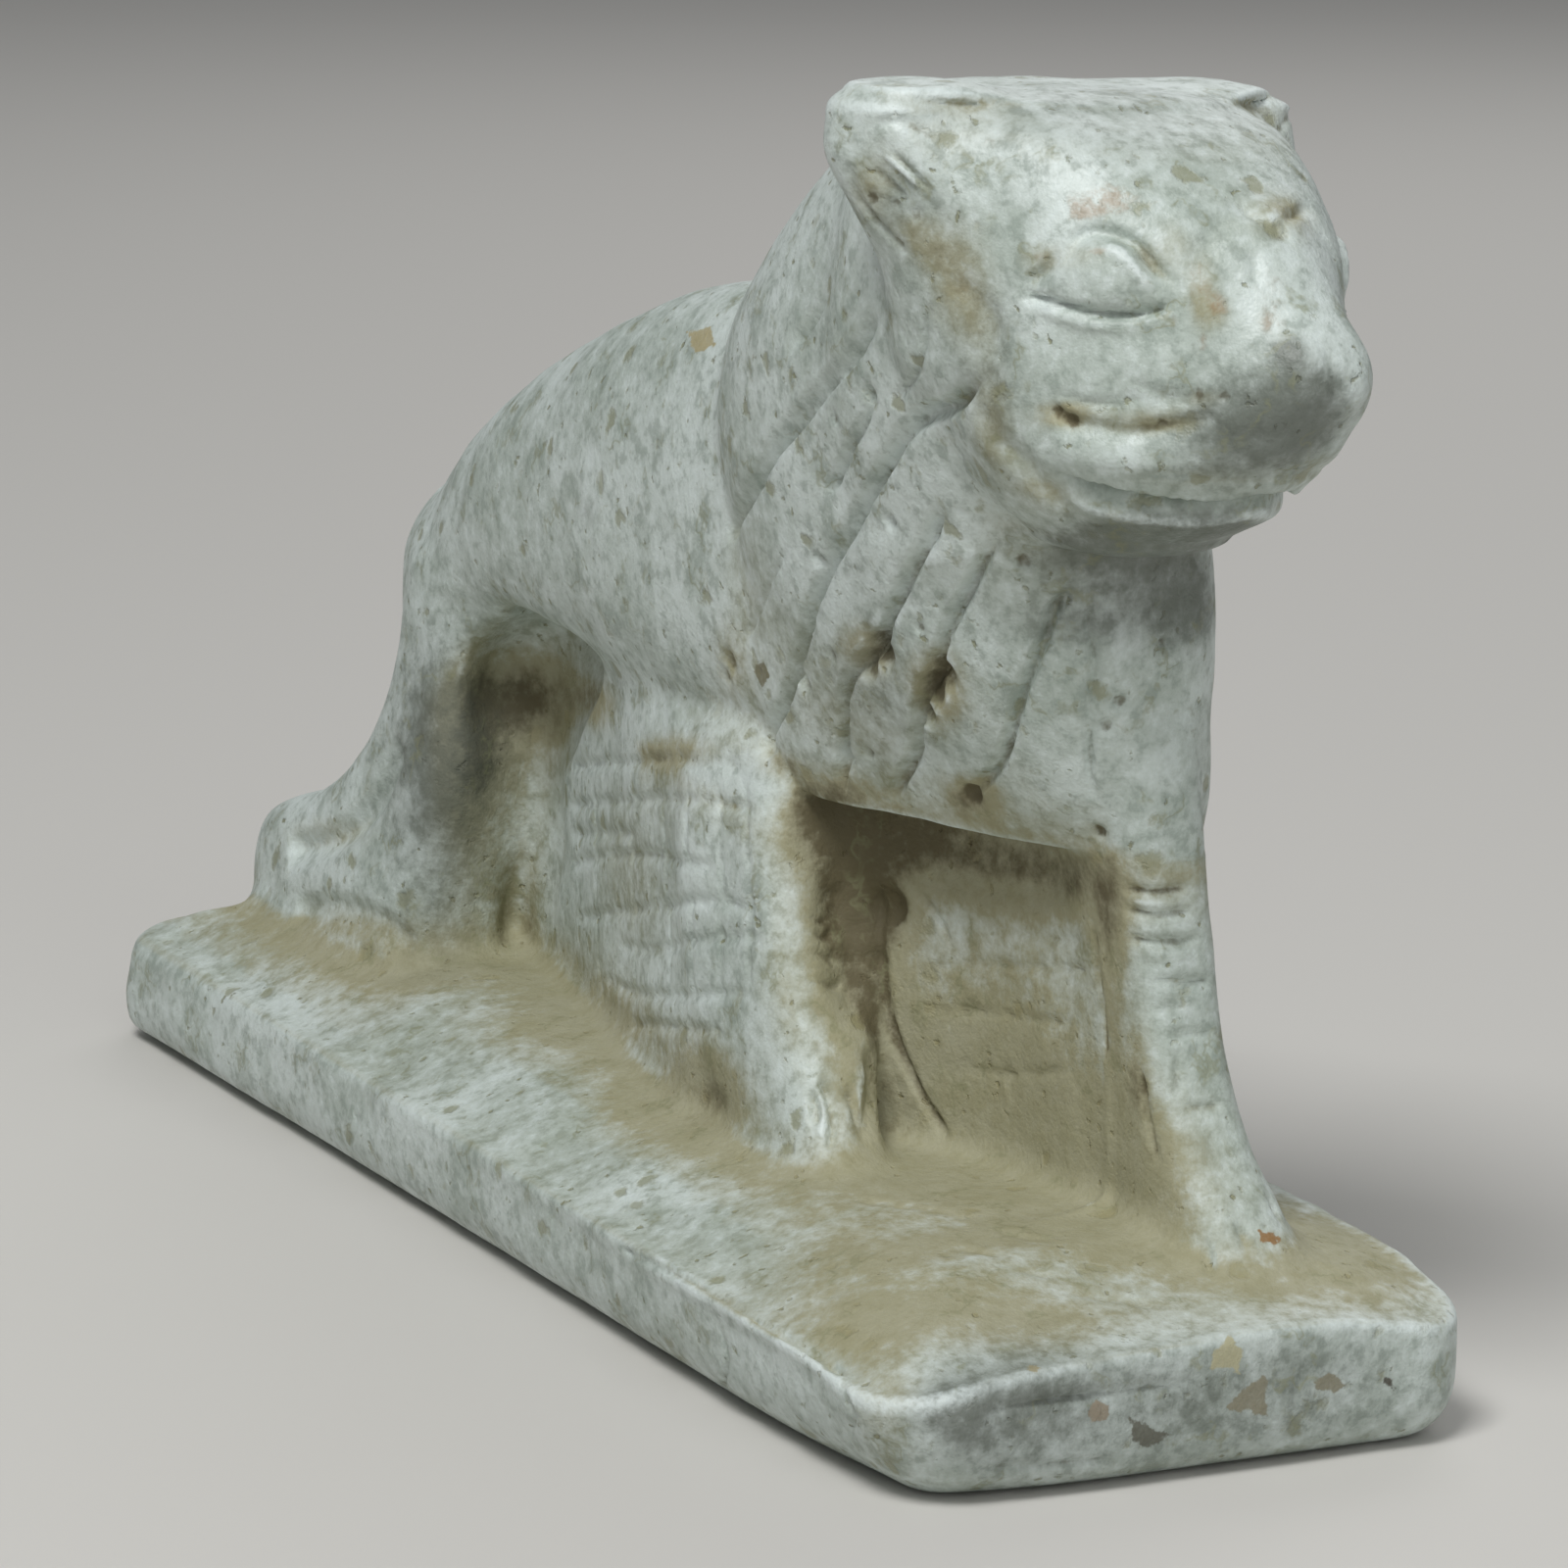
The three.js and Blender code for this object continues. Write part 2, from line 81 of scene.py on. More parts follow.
def blend_min(a: Array, b: Array, soft: float) -> Array:
    """Joins two distance fields with a fillet.

    Args:
        a: first field.
        b: second field.
        soft: how far from the joint the fillet starts, in mm.

    Returns:
        The field of the joined shape.
    """
    h = np.maximum(soft - np.abs(a - b), 0.0) / soft
    return np.minimum(a, b) - h * h * soft * 0.25


def blend_max(a: Array, b: Array, soft: float) -> Array:
    """Keeps what two distance fields share, with a rounded edge.

    Args:
        a: first field.
        b: second field.
        soft: how far from the edge the rounding starts, in mm.

    Returns:
        The field of the shared shape.
    """
    return -blend_min(-a, -b, soft)


def srgb(red: int, green: int, blue: int) -> Colour:
    """Turns a colour as seen on a screen into the linear one that the shader takes.

    Args:
        red: 0 to 255.
        green: 0 to 255.
        blue: 0 to 255.

    Returns:
        The linear colour with full cover.
    """
    channels = [c / 255 for c in (red, green, blue)]
    linear = [c / 12.92 if c < 0.04045 else ((c + 0.055) / 1.055) ** 2.4 for c in channels]
    return (*linear, 1.0)


def curve(places: Array, values: Array, at: Array) -> Array:
    """Runs a smooth cubic through values that are known at some places.

    Args:
        places: where the values are known, in rising order.
        values: the values, one row for each place.
        at: where to read the curve.

    Returns:
        One row for each place that is read.
    """
    chords = np.diff(values, axis=0) / np.diff(places)[:, None]
    slopes = np.vstack([chords[:1], (chords[1:] + chords[:-1]) / 2, chords[-1:]])
    index = np.clip(np.searchsorted(places, at, side="right") - 1, 0, len(places) - 2)
    gap = (places[index + 1] - places[index])[:, None]
    t = (at - places[index])[:, None] / gap
    return (
        values[index] * (2 * t**3 - 3 * t**2 + 1)
        + values[index + 1] * (3 * t**2 - 2 * t**3)
        + slopes[index] * gap * (t**3 - 2 * t**2 + t)
        + slopes[index + 1] * gap * (t**3 - t**2)
    )


class Noise:
    """Smooth seeded noise in space, between -1 and 1."""

    SIZE = 32

    def __init__(self, seed: int) -> None:
        """Fills the lattice.

        Args:
            seed: number that fixes the noise.
        """
        rng = np.random.default_rng(seed)
        self.lattice = rng.uniform(-1.0, 1.0, (self.SIZE,) * 3)

    def __call__(self, points: Array, scale: float | Sequence[float]) -> Array:
        """Reads the noise.

        Args:
            points: places, one row each.
            scale: size of one swell, one number or one for each direction.

        Returns:
            One value for each point.
        """
        place = points / np.asarray(scale, float)
        cell = np.floor(place).astype(np.int64)
        share = place - cell
        share = share * share * (3.0 - 2.0 * share)
        total = np.zeros(len(points))
        for corner in range(8):
            step = np.array([(corner >> k) & 1 for k in range(3)])
            weight = np.prod(np.where(step == 1, share, 1.0 - share), axis=1)
            i, j, k = ((cell + step) % self.SIZE).T
            total += weight * self.lattice[i, j, k]
        return total


@dataclass(frozen=True)
class Row:
    """One ring of a loft: its place along the axis and its limits, in mm.

    u and v are the low, widest and high limits in the ring's two directions, a power
    above 2 squares the shoulders, and turn is in degrees about the axis.
    """

    at: float
    u: Limits
    v: Limits
    power: float = 2.2
    turn: float = 0.0


class Solid:
    """A shape that can say how far a point is from its skin."""

    reach: Tuple[Array, Array]
    MARGIN = 7.0

    def field(self, points: Array) -> Array:
        """Signed distance near the shape; each shape gives its own.

        Args:
            points: places, one row each.

        Returns:
            Distance in mm, negative inside.
        """
        raise NotImplementedError

    def distance(self, points: Array) -> Array:
        """Signed distance, worked out only near the shape.

        Args:
            points: places, one row each.

        Returns:
            Distance in mm, negative inside, and a large number far away.
        """
        low, high = self.reach
        near = np.all((points > low - self.MARGIN) & (points < high + self.MARGIN), axis=1)
        result = np.full(len(points), 2.0 * self.MARGIN)
        if near.any():
            result[near] = self.field(points[near])
        return result


class Axis(Enum):
    """The way a loft runs, as the order of its u, v and long directions among x, y and z."""

    UPRIGHT = (0, 1, 2)
    LENGTHWISE = (1, 2, 0)


class Loft(Solid):
    """A body skinned over rows of limits along one axis, with rounded ends."""

    STATIONS = 240

    def __init__(self, rows: Sequence[Row], caps: Tuple[float, float], axis: Axis = Axis.UPRIGHT) -> None:
        """Prepares the smooth limits between the rows.

        Args:
            rows: the rings, in order along the axis.
            caps: how far the rounded ends stand out, first and last.
            axis: the way it runs.
        """
        self.caps = caps
        self.order = axis.value
        places = np.array([row.at for row in rows])
        values = np.array([[*row.u, *row.v, row.power, math.radians(row.turn)] for row in rows])
        self.stations = np.linspace(places[0], places[-1], self.STATIONS)
        self.limits = curve(places, values, self.stations)
        u_reach = max(abs(row.u[2] - row.u[0]) for row in rows) / 2
        v_reach = max(abs(row.v[2] - row.v[0]) for row in rows) / 2
        spread = math.hypot(u_reach, v_reach) / 4 if any(row.turn for row in rows) else 0.0
        low = [min(row.u[0] for row in rows) - spread, min(row.v[0] for row in rows) - spread]
        high = [max(row.u[2] for row in rows) + spread, max(row.v[2] for row in rows) + spread]
        low.append(places[0] - caps[0])
        high.append(places[-1] + caps[1])
        back = np.argsort(self.order)
        self.reach = (np.array(low)[back], np.array(high)[back])

    def section(self, at: Array) -> List[Array]:
        """Reads the limits anywhere along the axis.

        Args:
            at: places along the axis.

        Returns:
            Low, widest and high u, the same for v, the power and the turn.
        """
        return [np.interp(at, self.stations, column) for column in self.limits.T]

    def field(self, points: Array) -> Array:
        """Signed distance near the loft.

        Args:
            points: places, one row each.

        Returns:
            Distance in mm, negative inside.
        """
        x, y, along = points[:, self.order].T
        at = np.clip(along, self.stations[0], self.stations[-1])
        u0, u1, u2, v0, v1, v2, power, turn = self.section(at)
        cos, sin = np.cos(turn), np.sin(turn)
        a = (x - u1) * cos + (y - v1) * sin
        b = (y - v1) * cos - (x - u1) * sin
        half_u = np.where(a < 0, u1 - u0, u2 - u1)
        half_v = np.where(b < 0, v1 - v0, v2 - v1)
        a, b = np.abs(a) / half_u, np.abs(b) / half_v
        size = np.maximum((a**power + b**power) ** (1.0 / power), 1e-4)
        cap = np.where(along < at, self.caps[0], self.caps[1])
        end = (along - at) / cap
        whole = np.sqrt(size**2 + end**2)
        slope_u = (a / size) ** (power - 1) / half_u
        slope_v = (b / size) ** (power - 1) / half_v
        slope = (size / whole) ** 2 * (slope_u**2 + slope_v**2) + (end / (whole * cap)) ** 2
        return (whole - 1.0) / np.sqrt(np.maximum(slope, 1e-8))


@dataclass
class Slab(Solid):
    """The base slab, with ground that swells up round the beast."""

    back: float = -80.5
    front: float = 84.5
    side: float = 25.2
    corner: float = 6.0
    near_corner: float = 7.0
    near_edge: float = 9.6
    far_edge: float = 12.0
    ground: float = 14.2
    rim: float = 0.9
    foot: float = 2.2

    def __post_init__(self) -> None:
        """Notes the slab's reach."""
        self.reach = (
            np.array([self.back, -self.side - 2, 0.0]),
            np.array([self.front, self.side + 1, self.ground]),
        )

    def edge(self, x: Array, y: Array) -> Array:
        """Height of the slab's upper edge, lower on the near side and at the front corners.

        Args:
            x: places ahead.
            y: places to the left.

        Returns:
            Heights in mm.
        """
        share = (y + self.side) / (2 * self.side)
        near_dip = 1.6 * np.exp(-(((x - self.front) / 11) ** 2) - ((y + self.side) / 8) ** 2)
        far_dip = 2.6 * np.exp(-(((x - self.front) / 8) ** 2) - ((y - self.side) / 9) ** 2)
        return self.near_edge + (self.far_edge - self.near_edge) * share - near_dip - far_dip

    def field(self, points: Array) -> Array:
        """Signed distance near the slab.

        Args:
            points: places, one row each.

        Returns:
            Distance in mm, negative inside.
        """
        x, y, z = points.T
        length = self.front - self.back
        drop = np.interp(z, [0, 1.1, 3, 8, 10], [1.0, 1.2, 0.9, 0.5, 0.0])
        lean = drop * np.clip(-y / self.side, 0, 1.2) * ((x - self.back) / length - 0.45) * 4
        worn = np.exp(-(((x - self.front) / 15) ** 2) - ((y + self.side) / 10) ** 2)
        middle, half = (self.front + self.back) / 2, length / 2
        near_front = smoothstep(40, 70, x) * smoothstep(5, -5, y)
        corner = self.corner + (self.near_corner - self.corner) * near_front
        px = np.abs(x - middle) - half + corner
        py = np.abs(y - lean) - self.side + corner
        wall = np.hypot(np.maximum(px, 0), np.maximum(py, 0)) + np.minimum(np.maximum(px, py), 0) - corner
        inset = np.maximum(-wall, 0)
        swell = np.interp(inset, [0, 1.9, 5.5, 9, 12.5, 17], [0, 0.05, 0.4, 0.7, 0.9, 1])
        ahead = smoothstep(66, 80, x)
        edge = self.edge(x, y)
        top = edge + (self.ground - 1.6 * ahead - edge) * swell
        shape = blend_max(wall, (z - top) * 0.94, self.rim)
        return blend_max(shape, -z, self.foot * 2.4 + 4.5 * worn)


class Turned:
    """The head's frame: its shapes are written straight ahead, then turned and tipped."""

    def __init__(self, place: Point, turn: float, tip: float, pivot: float) -> None:
        """Prepares the turn.

        Args:
            place: where the head's own origin stands; its height is the pivot's.
            turn: degrees to the beast's left.
            tip: degrees that the head leans to its left.
            pivot: height that the tip turns about.
        """
        matrix = (
            Matrix.Translation(Vector((place[0], place[1], pivot)))
            @ Matrix.Rotation(math.radians(turn), 4, "Z")
            @ Matrix.Rotation(math.radians(-tip), 4, "X")
            @ Matrix.Translation(Vector((0, 0, -pivot)))
        )
        self.out = np.array(matrix)
        self.back = np.array(matrix.inverted())

    def inward(self, points: Array) -> Array:
        """Takes points into the head's frame.

        Args:
            points: places in the statue's frame.

        Returns:
            The same places in the head's frame.
        """
        return points @ self.back[:3, :3].T + self.back[:3, 3]

    def outward(self, points: Sequence[Point] | Array) -> Array:
        """Takes points out of the head's frame.

        Args:
            points: places in the head's frame.

        Returns:
            The same places in the statue's frame.
        """
        return np.asarray(points, float) @ self.out[:3, :3].T + self.out[:3, 3]

    def mirrored(self, points: Array) -> Array:
        """Takes points to the head's other side.

        Args:
            points: places in the statue's frame.

        Returns:
            Their fellows in the statue's frame.
        """
        return self.outward(self.inward(points) * (1, -1, 1))


HEAD = Turned(place=(62.7, 0.0, 80.0), turn=15.0, tip=3.6, pivot=80.0)


class Head:
    """Skull, muzzle, nose and ears, in the head's own frame."""

    def __init__(self) -> None:
        """Makes the head's shapes."""
        self.skull = Loft([
            Row(68.6, (1, 8, 16.5), (-7.6, 0, 7.6), 2.0),
            Row(71, (-3, 8, 21.6), (-10.6, 0, 10.6), 1.8),
            Row(73.5, (-6, 8, 23.8), (-12.4, 0, 12.4), 1.7),
            Row(76, (-8, 7, 26.6), (-13.6, 0, 13.6), 1.6),
            Row(80, (-10, 7, 27.6), (-14.5, 0, 14.5), 1.55),
            Row(84, (-10, 6, 26.4), (-15, 0, 15), 1.65),
            Row(88, (-11, 5, 24.8), (-15.3, 0, 15.3), 1.8),
            Row(92, (-12, 3, 21.8), (-15.3, 0, 15.3), 1.95),
            Row(95, (-12.6, 2, 18.6), (-15, 0, 15), 2.0),
            Row(97.6, (-12.8, 1, 14.2), (-14.2, 0, 14.2), 2.1),
            Row(99.2, (-12, 0, 9.5), (-12.6, 0, 12.6), 2.2),
        ], (1.6, 1.2))
        self.nose = Loft([
            Row(74.5, (12, 18, 23.6), (-6.4, 0, 6.4)),
            Row(79, (14, 22.5, 28.8), (-6.4, 0, 6.4)),
            Row(83, (14, 22.5, 30.2), (-5.4, 0, 5.4)),
            Row(88, (12, 19, 25.6), (-4.6, 0, 4.6)),
            Row(92, (10, 15, 22.7), (-4.4, 0, 4.4)),
        ], (1.0, 2.0))
        self.ears = [
            self._ear(-1, (14, 15.6, 18.2, 20.3, 20.5), 98.2, 2.6, 2.2),
            self._ear(1, (14, 15.8, 19, 21.2, 20.6), 98.6, 3.2, 1.2),
        ]

    @staticmethod
    def _ear(side: int, outer: Sequence[float], top: float, power: float, cap: float) -> Loft:
        """A short broad ear at the corner of the crown.

        Args:
            side: -1 for the near ear, 1 for the far one.
            outer: outer edge of each row.
            top: height of the last row.
            power: how square it is.
            cap: how far its top rounds over.

        Returns:
            The ear.
        """
        inner = (8, 8, 8, 9, 10)
        across = []
        for limits in zip(inner, outer):
            low, high = sorted(side * limit for limit in limits)
            across.append((low, (low + high) / 2, high))
        return Loft([
            Row(82, (-4, 1, 7), across[0], power),
            Row(87, (-4.5, 1, 7.4), across[1], power),
            Row(91, (-5.5, 0.5, 6.8), across[2], power),
            Row(95, (-6.6, -0.5, 5.2), across[3], power),
            Row(top, (-6.4, -1, 3.4), across[4], power),
        ], (4, cap))

    def distance(self, points: Array) -> Array:
        """Signed distance to the head.

        Args:
            points: places in the statue's frame.

        Returns:
            Distance in mm.
        """
        local = HEAD.inward(points)
        shape = blend_min(self.skull.distance(local), self.nose.distance(local), 2.0)
        for ear in self.ears:
            shape = blend_min(shape, ear.distance(local), 3.5)
        return shape


class Beast:
    """The whole carved form: slab, trunk, mane, legs, the web between them, and the head.

    low and high are the corners of the part's box in the carver's frame, in mm.
    """

    def __init__(self) -> None:
        """Makes the shapes."""
        self.slab = Slab()
        self.head = Head()
        self.trunk = Loft([
            Row(-50, (-7, 1, 9.5), (34, 45, 55.5)),
            Row(-42, (-9, 1, 11), (37, 49, 61)),
            Row(-25, (-10.5, 1, 12), (42, 55, 69.4)),
            Row(-5, (-11, 1, 13), (43, 58, 76.3), 2.4),
            Row(12, (-11, 1, 13), (43.5, 58, 79.8), 2.7),
            Row(30, (-9.5, 1, 13), (43.5, 60, 80), 2.7),
            Row(50, (-5, 3, 12), (44, 61, 78)),
        ], (7, 6), Axis.LENGTHWISE)
        self.mane = Loft([
            Row(42.6, (26, 44, 64), (-3.4, 3.2, 10), 3.2, 20),
            Row(46, (23.5, 44, 65.4), (-5.2, 3, 11.4), 2.9, 17),
            Row(52, (21, 44, 66.6), (-8, 3, 13.4), 2.6, 12),
            Row(60, (20, 44, 68), (-10.5, 2, 15.3), 2.4, 8),
            Row(70, (16, 43, 67), (-12.3, 1, 15.2), 2.3, 5),
            Row(78, (17, 44, 66), (-12.8, 0, 14.6), 2.2, 1),
            Row(84, (22, 46, 66), (-12, 0, 13.5), 2.1, 0),
            Row(90, (29, 50, 66), (-11, 0, 12), 2.0, 0),
            Row(95, (37, 54, 66), (-9.5, 0, 10), 2.0, 0),
        ], (0.8, 4))
        self.neck = Loft([
            Row(67, (48, 58, 68), (-8.5, 1, 10)),
            Row(74, (46, 58, 70), (-11.4, 1, 12.6), 2.8),
            Row(82, (46, 58, 71), (-13, 1, 13.6), 2.8),
            Row(90, (48, 58, 70), (-12.6, 1, 13), 2.6),
        ], (3, 5))
        self.right_fore = Loft([
            Row(10, (26, 35, 44.4), (-11.2, -7.8, -3.4), 2.4),
            Row(15, (24, 34, 42.8), (-11.2, -7.8, -2.8), 2.5),
            Row(20, (20, 30, 39.4), (-11, -7, -1.6), 2.8),
            Row(25, (17, 26, 36.2), (-10.8, -6.5, -0.6), 3.4),
            Row(32, (16, 24, 33.4), (-10.6, -6, 0), 4.0),
            Row(38, (16, 23, 32), (-10.4, -5.5, 0.4), 4.0),
            Row(44, (17, 22, 31), (-9, -4, 1), 4.0),
        ], (1, 2))
        self.groin = Loft([
            Row(32, (-36, -33, -29), (-6.4, -3.8, -1.8)),
            Row(37, (-37.6, -32, -22), (-8.2, -4.5, -1.2)),
            Row(42, (-36, -29, -15), (-8.4, -4.5, -0.8)),
            Row(46, (-30, -24, -10), (-7.4, -4, -0.6)),
        ], (10, 2))
        self.left_fore = Loft([
            Row(10, (57, 67, 76.6), (6.3, 11, 17), 2.4),
            Row(15, (56, 66, 74.4), (6.2, 11, 16), 2.6),
            Row(20, (55, 63, 70.4), (6, 10, 14.4), 3.2),
            Row(30, (53.6, 61, 67), (5.4, 9.6, 12.9), 3.4),
            Row(38, (52.4, 60, 66.4), (4.7, 9, 12.2), 3.2),
            Row(44, (51, 59, 66.4), (3.7, 8, 12), 3.0),
            Row(52, (50, 58, 66.6), (2.4, 7, 12), 2.8),
        ], (1, 6))
        self.right_hind = Loft([
            Row(9, (-78.5, -56, -36), (-15, -8, -3), 4.0),
            Row(17, (-78.5, -56, -36.6), (-15, -8, -3), 3.8),
            Row(20.5, (-76, -55, -37), (-14.4, -8, -2), 3.6),
            Row(25, (-64, -50, -36.6), (-13, -7, 0), 3.6),
            Row(31, (-54.5, -46, -35), (-12, -6, 0), 3.4),
            Row(39, (-50.5, -43, -32.6), (-10.8, -3, 3), 3.0),
            Row(47, (-50, -40, -30), (-9.4, 0, 6), 2.5),
        ], (1, 5))
        self.left_hind = Loft([
            Row(10, (-36, -20, -5), (5, 9, 15.5), 3.0),
            Row(16, (-38, -22, -7), (5, 9, 15), 3.0),
            Row(22, (-42, -30, -17), (4, 8, 14), 3.0),
            Row(34, (-50, -37, -22), (3, 8, 13.5), 3.0),
            Row(47, (-52, -39, -25), (2, 7, 12), 2.5),
        ], (1, 5))
        self.haunch = Loft([
            Row(10, (-61, -50, -40), (-7, 1, 9.5), 3.0),
            Row(30, (-57.5, -48, -39), (-8, 1, 10), 2.8),
            Row(47, (-55, -46, -36), (-8.5, 1, 11), 2.4),
        ], (1, 7))
        self.tail = Loft([
            Row(11, (-66, -62.5, -56), (-2.6, 1.6, 5.4)),
            Row(20, (-63, -60, -55), (-1.4, 1.4, 4.2)),
            Row(34, (-60, -57.5, -52), (-1.2, 1.2, 3.6)),
            Row(46, (-57.6, -54, -48), (-1.8, 1, 3.8)),
        ], (1, 3))
        self.web = Loft([
            Row(-54, (-1.5, 2, 6), (8, 26, 44), 9.0),
            Row(-30, (-2.4, 2, 7), (8, 28, 50), 9.0),
            Row(-8, (-6.4, 2, 8), (8, 28, 46), 9.0),
            Row(8, (-9.2, 2, 8), (8, 28, 46), 9.0),
            Row(24, (-9.6, 2, 8), (8, 28, 46), 9.0),
            Row(35, (0, 4, 9), (8, 28, 46), 9.0),
            Row(60, (6.2, 10, 13), (8, 28, 46), 9.0),
        ], (0.5, 0.5), Axis.LENGTHWISE)
        self.low = np.array([-80.5, -26.5, 0.0])
        self.high = np.array([91.92, 25.2, 101.29])

    def figure(self, points: Array) -> Array:
        """Signed distance to the beast alone, without its base or head.

        Args:
            points: places, one row each.

        Returns:
            Distance in mm, negative inside.
        """
        body = blend_min(self.trunk.distance(points), self.haunch.distance(points), 4.0)
        body = blend_min(body, self.web.distance(points), 3.0)
        for leg in (self.right_fore, self.right_hind, self.left_hind):
            body = blend_min(body, leg.distance(points), 2.6)
        body = blend_max(body, -self.groin.distance(points), 4.0)
        body = blend_min(body, self.left_fore.distance(points), 1.2)
        body = blend_min(body, self.tail.distance(points), 1.0)
        return body

    def distance(self, points: Array) -> Array:
        """Signed distance to the statue before its fine carving.

        Args:
            points: places, one row each.

        Returns:
            Distance in mm, negative inside.
        """
        body = blend_min(self.figure(points), self.slab.distance(points), 2.6)
        cape = blend_min(self.mane.distance(points), self.neck.distance(points), 5.0)
        body = blend_min(body, cape, 0.8)
        return blend_min(body, self.head.distance(points), 2.0)

    def slope(self, points: Array, step: float = 0.12) -> Tuple[Array, Array]:
        """Distance and its gradient, from four readings round each point.

        Args:
            points: places, one row each.
            step: half the spacing of the readings.

        Returns:
            The mean distance and the gradient.
        """
        total = np.zeros(len(points))
        gradient = np.zeros_like(points)
        for sign in ((1, 1, 1), (1, -1, -1), (-1, 1, -1), (-1, -1, 1)):
            way = np.array(sign, float)
            value = self.distance(points + way * step)
            total += value / 4
            gradient += value[:, None] * way / (4 * step)
        return total, gradient

    def settle(self, points: Array, rounds: int = 2) -> Tuple[Array, Array]:
        """Moves points onto the form's skin.

        Args:
            points: places near the skin.
            rounds: how many steps to take.

        Returns:
            The settled points and the skin's outward normals.
        """
        gradient = np.zeros_like(points)
        for _ in range(rounds):
            value, gradient = self.slope(points)
            size = np.maximum(np.sum(gradient**2, axis=1), 0.05)
            points = points - np.clip(value / size, -1.5, 1.5)[:, None] * gradient
        length = np.maximum(np.linalg.norm(gradient, axis=1, keepdims=True), 1e-6)
        return points, gradient / length

    def line(self, knots: Array, gap: float = 0.9) -> Array:
        """Draws a smooth line through points and lays it on the skin.

        Args:
            knots: places the line passes.
            gap: spacing of the drawn line's points, in mm.

        Returns:
            The line's points on the skin.
        """
        steps = np.linalg.norm(np.diff(knots, axis=0), axis=1)
        places = np.concatenate([[0], np.cumsum(steps)])
        run = np.linspace(0, places[-1], max(3, int(places[-1] / gap)))
        return self.settle(curve(places, knots, run), 4)[0]


class Netting:
    """Turns a distance field into a mesh of quads, one vertex a cell."""

    BLOCK = 4
    FAR = 9
    CHUNK = 6000

    def __init__(self, form: Beast, cell: float) -> None:
        """Lays the grid over the form.

        Args:
            form: the field to mesh.
            cell: grid spacing in mm.
        """
        self.form = form
        self.cell = cell
        self.origin = form.low - 2 * cell
        extent = form.high + 2 * cell - self.origin
        self.shape = tuple(int(math.ceil(e / cell / self.BLOCK)) * self.BLOCK for e in extent)

    @staticmethod
    def _indices(counts: Sequence[int]) -> Array:
        """Numbers of every cell of a grid.

        Args:
            counts: how many cells the grid has each way.

        Returns:
            One row of three numbers for each cell.
        """
        return np.stack(np.meshgrid(*[np.arange(n) for n in counts], indexing="ij"), -1).reshape(-1, 3)

    def _values(self) -> Array:
        """Reads the field at every grid corner that is near the skin.

        Returns:
            A dense grid of distances, with only the sign right far from the skin.
        """
        step = self.cell * self.BLOCK
        counts = [n // self.BLOCK for n in self.shape]
        index = self._indices(counts)
        centres = self.origin + (index + 0.5) * step - 0.5 * self.cell
        coarse = self.form.distance(centres)
        dense = np.sign(coarse).reshape(counts).astype(np.float32) * self.FAR
        for axis in range(3):
            dense = np.repeat(dense, self.BLOCK, axis=axis)
        near = index[np.abs(coarse) < step * 0.87 + 1.2]
        within = self._indices([self.BLOCK] * 3)
        for chunk in np.array_split(near, max(1, len(near) // self.CHUNK)):
            cells = (chunk[:, None, :] * self.BLOCK + within[None]).reshape(-1, 3)
            i, j, k = cells.T
            dense[i, j, k] = self.form.distance(self.origin + cells * self.cell)
        return dense

    def build(self) -> Tuple[Array, Array]:
        """Makes the mesh.

        Returns:
            The vertices and the quads.
        """
        values = self._values()
        inside = values < 0
        corners = [np.array([(c >> k) & 1 for k in range(3)]) for c in range(8)]
        span = [slice(0, -1), slice(1, None)]
        count = sum(inside[span[a], span[b], span[c]].astype(np.int8) for a, b, c in corners)
        cells = np.argwhere((count > 0) & (count < 8))
        number = np.full(count.shape, -1, np.int64)
        number[tuple(cells.T)] = np.arange(len(cells))
        total = np.zeros((len(cells), 3))
        crossings = np.zeros(len(cells))
        for first in range(8):
            for axis in range(3):
                if corners[first][axis]:
                    continue
                second = corners[first].copy()
                second[axis] = 1
                a = values[tuple((cells + corners[first]).T)]
                b = values[tuple((cells + second).T)]
                cross = (a < 0) != (b < 0)
                share = np.where(cross, a / np.where(cross, a - b, 1), 0)
                total += cross[:, None] * (corners[first] + share[:, None] * (second - corners[first]))
                crossings += cross
        vertices = self.origin + (cells + total / crossings[:, None]) * self.cell
        quads = []
        for axis in range(3):
            other = [k for k in range(3) if k != axis]
            low = [slice(None)] * 3
            high = [slice(None)] * 3
            low[axis], high[axis] = slice(0, -1), slice(1, None)
            for k in other:
                low[k] = high[k] = slice(1, -1)
            start, end = inside[tuple(low)], inside[tuple(high)]
            edges = np.argwhere(start != end)
            flip = start[tuple(edges.T)]
            for k in other:
                edges[:, k] += 1
            ring = []
            for da, db in ((1, 1), (0, 1), (0, 0), (1, 0)):
                cell = edges.copy()
                cell[:, other[0]] -= da
                cell[:, other[1]] -= db
                ring.append(number[tuple(cell.T)])
            quad = np.stack(ring, 1)
            turn = flip if axis != 1 else ~flip
            quad[~turn] = quad[~turn][:, ::-1]
            quads.append(quad)
        return vertices, np.vstack(quads)


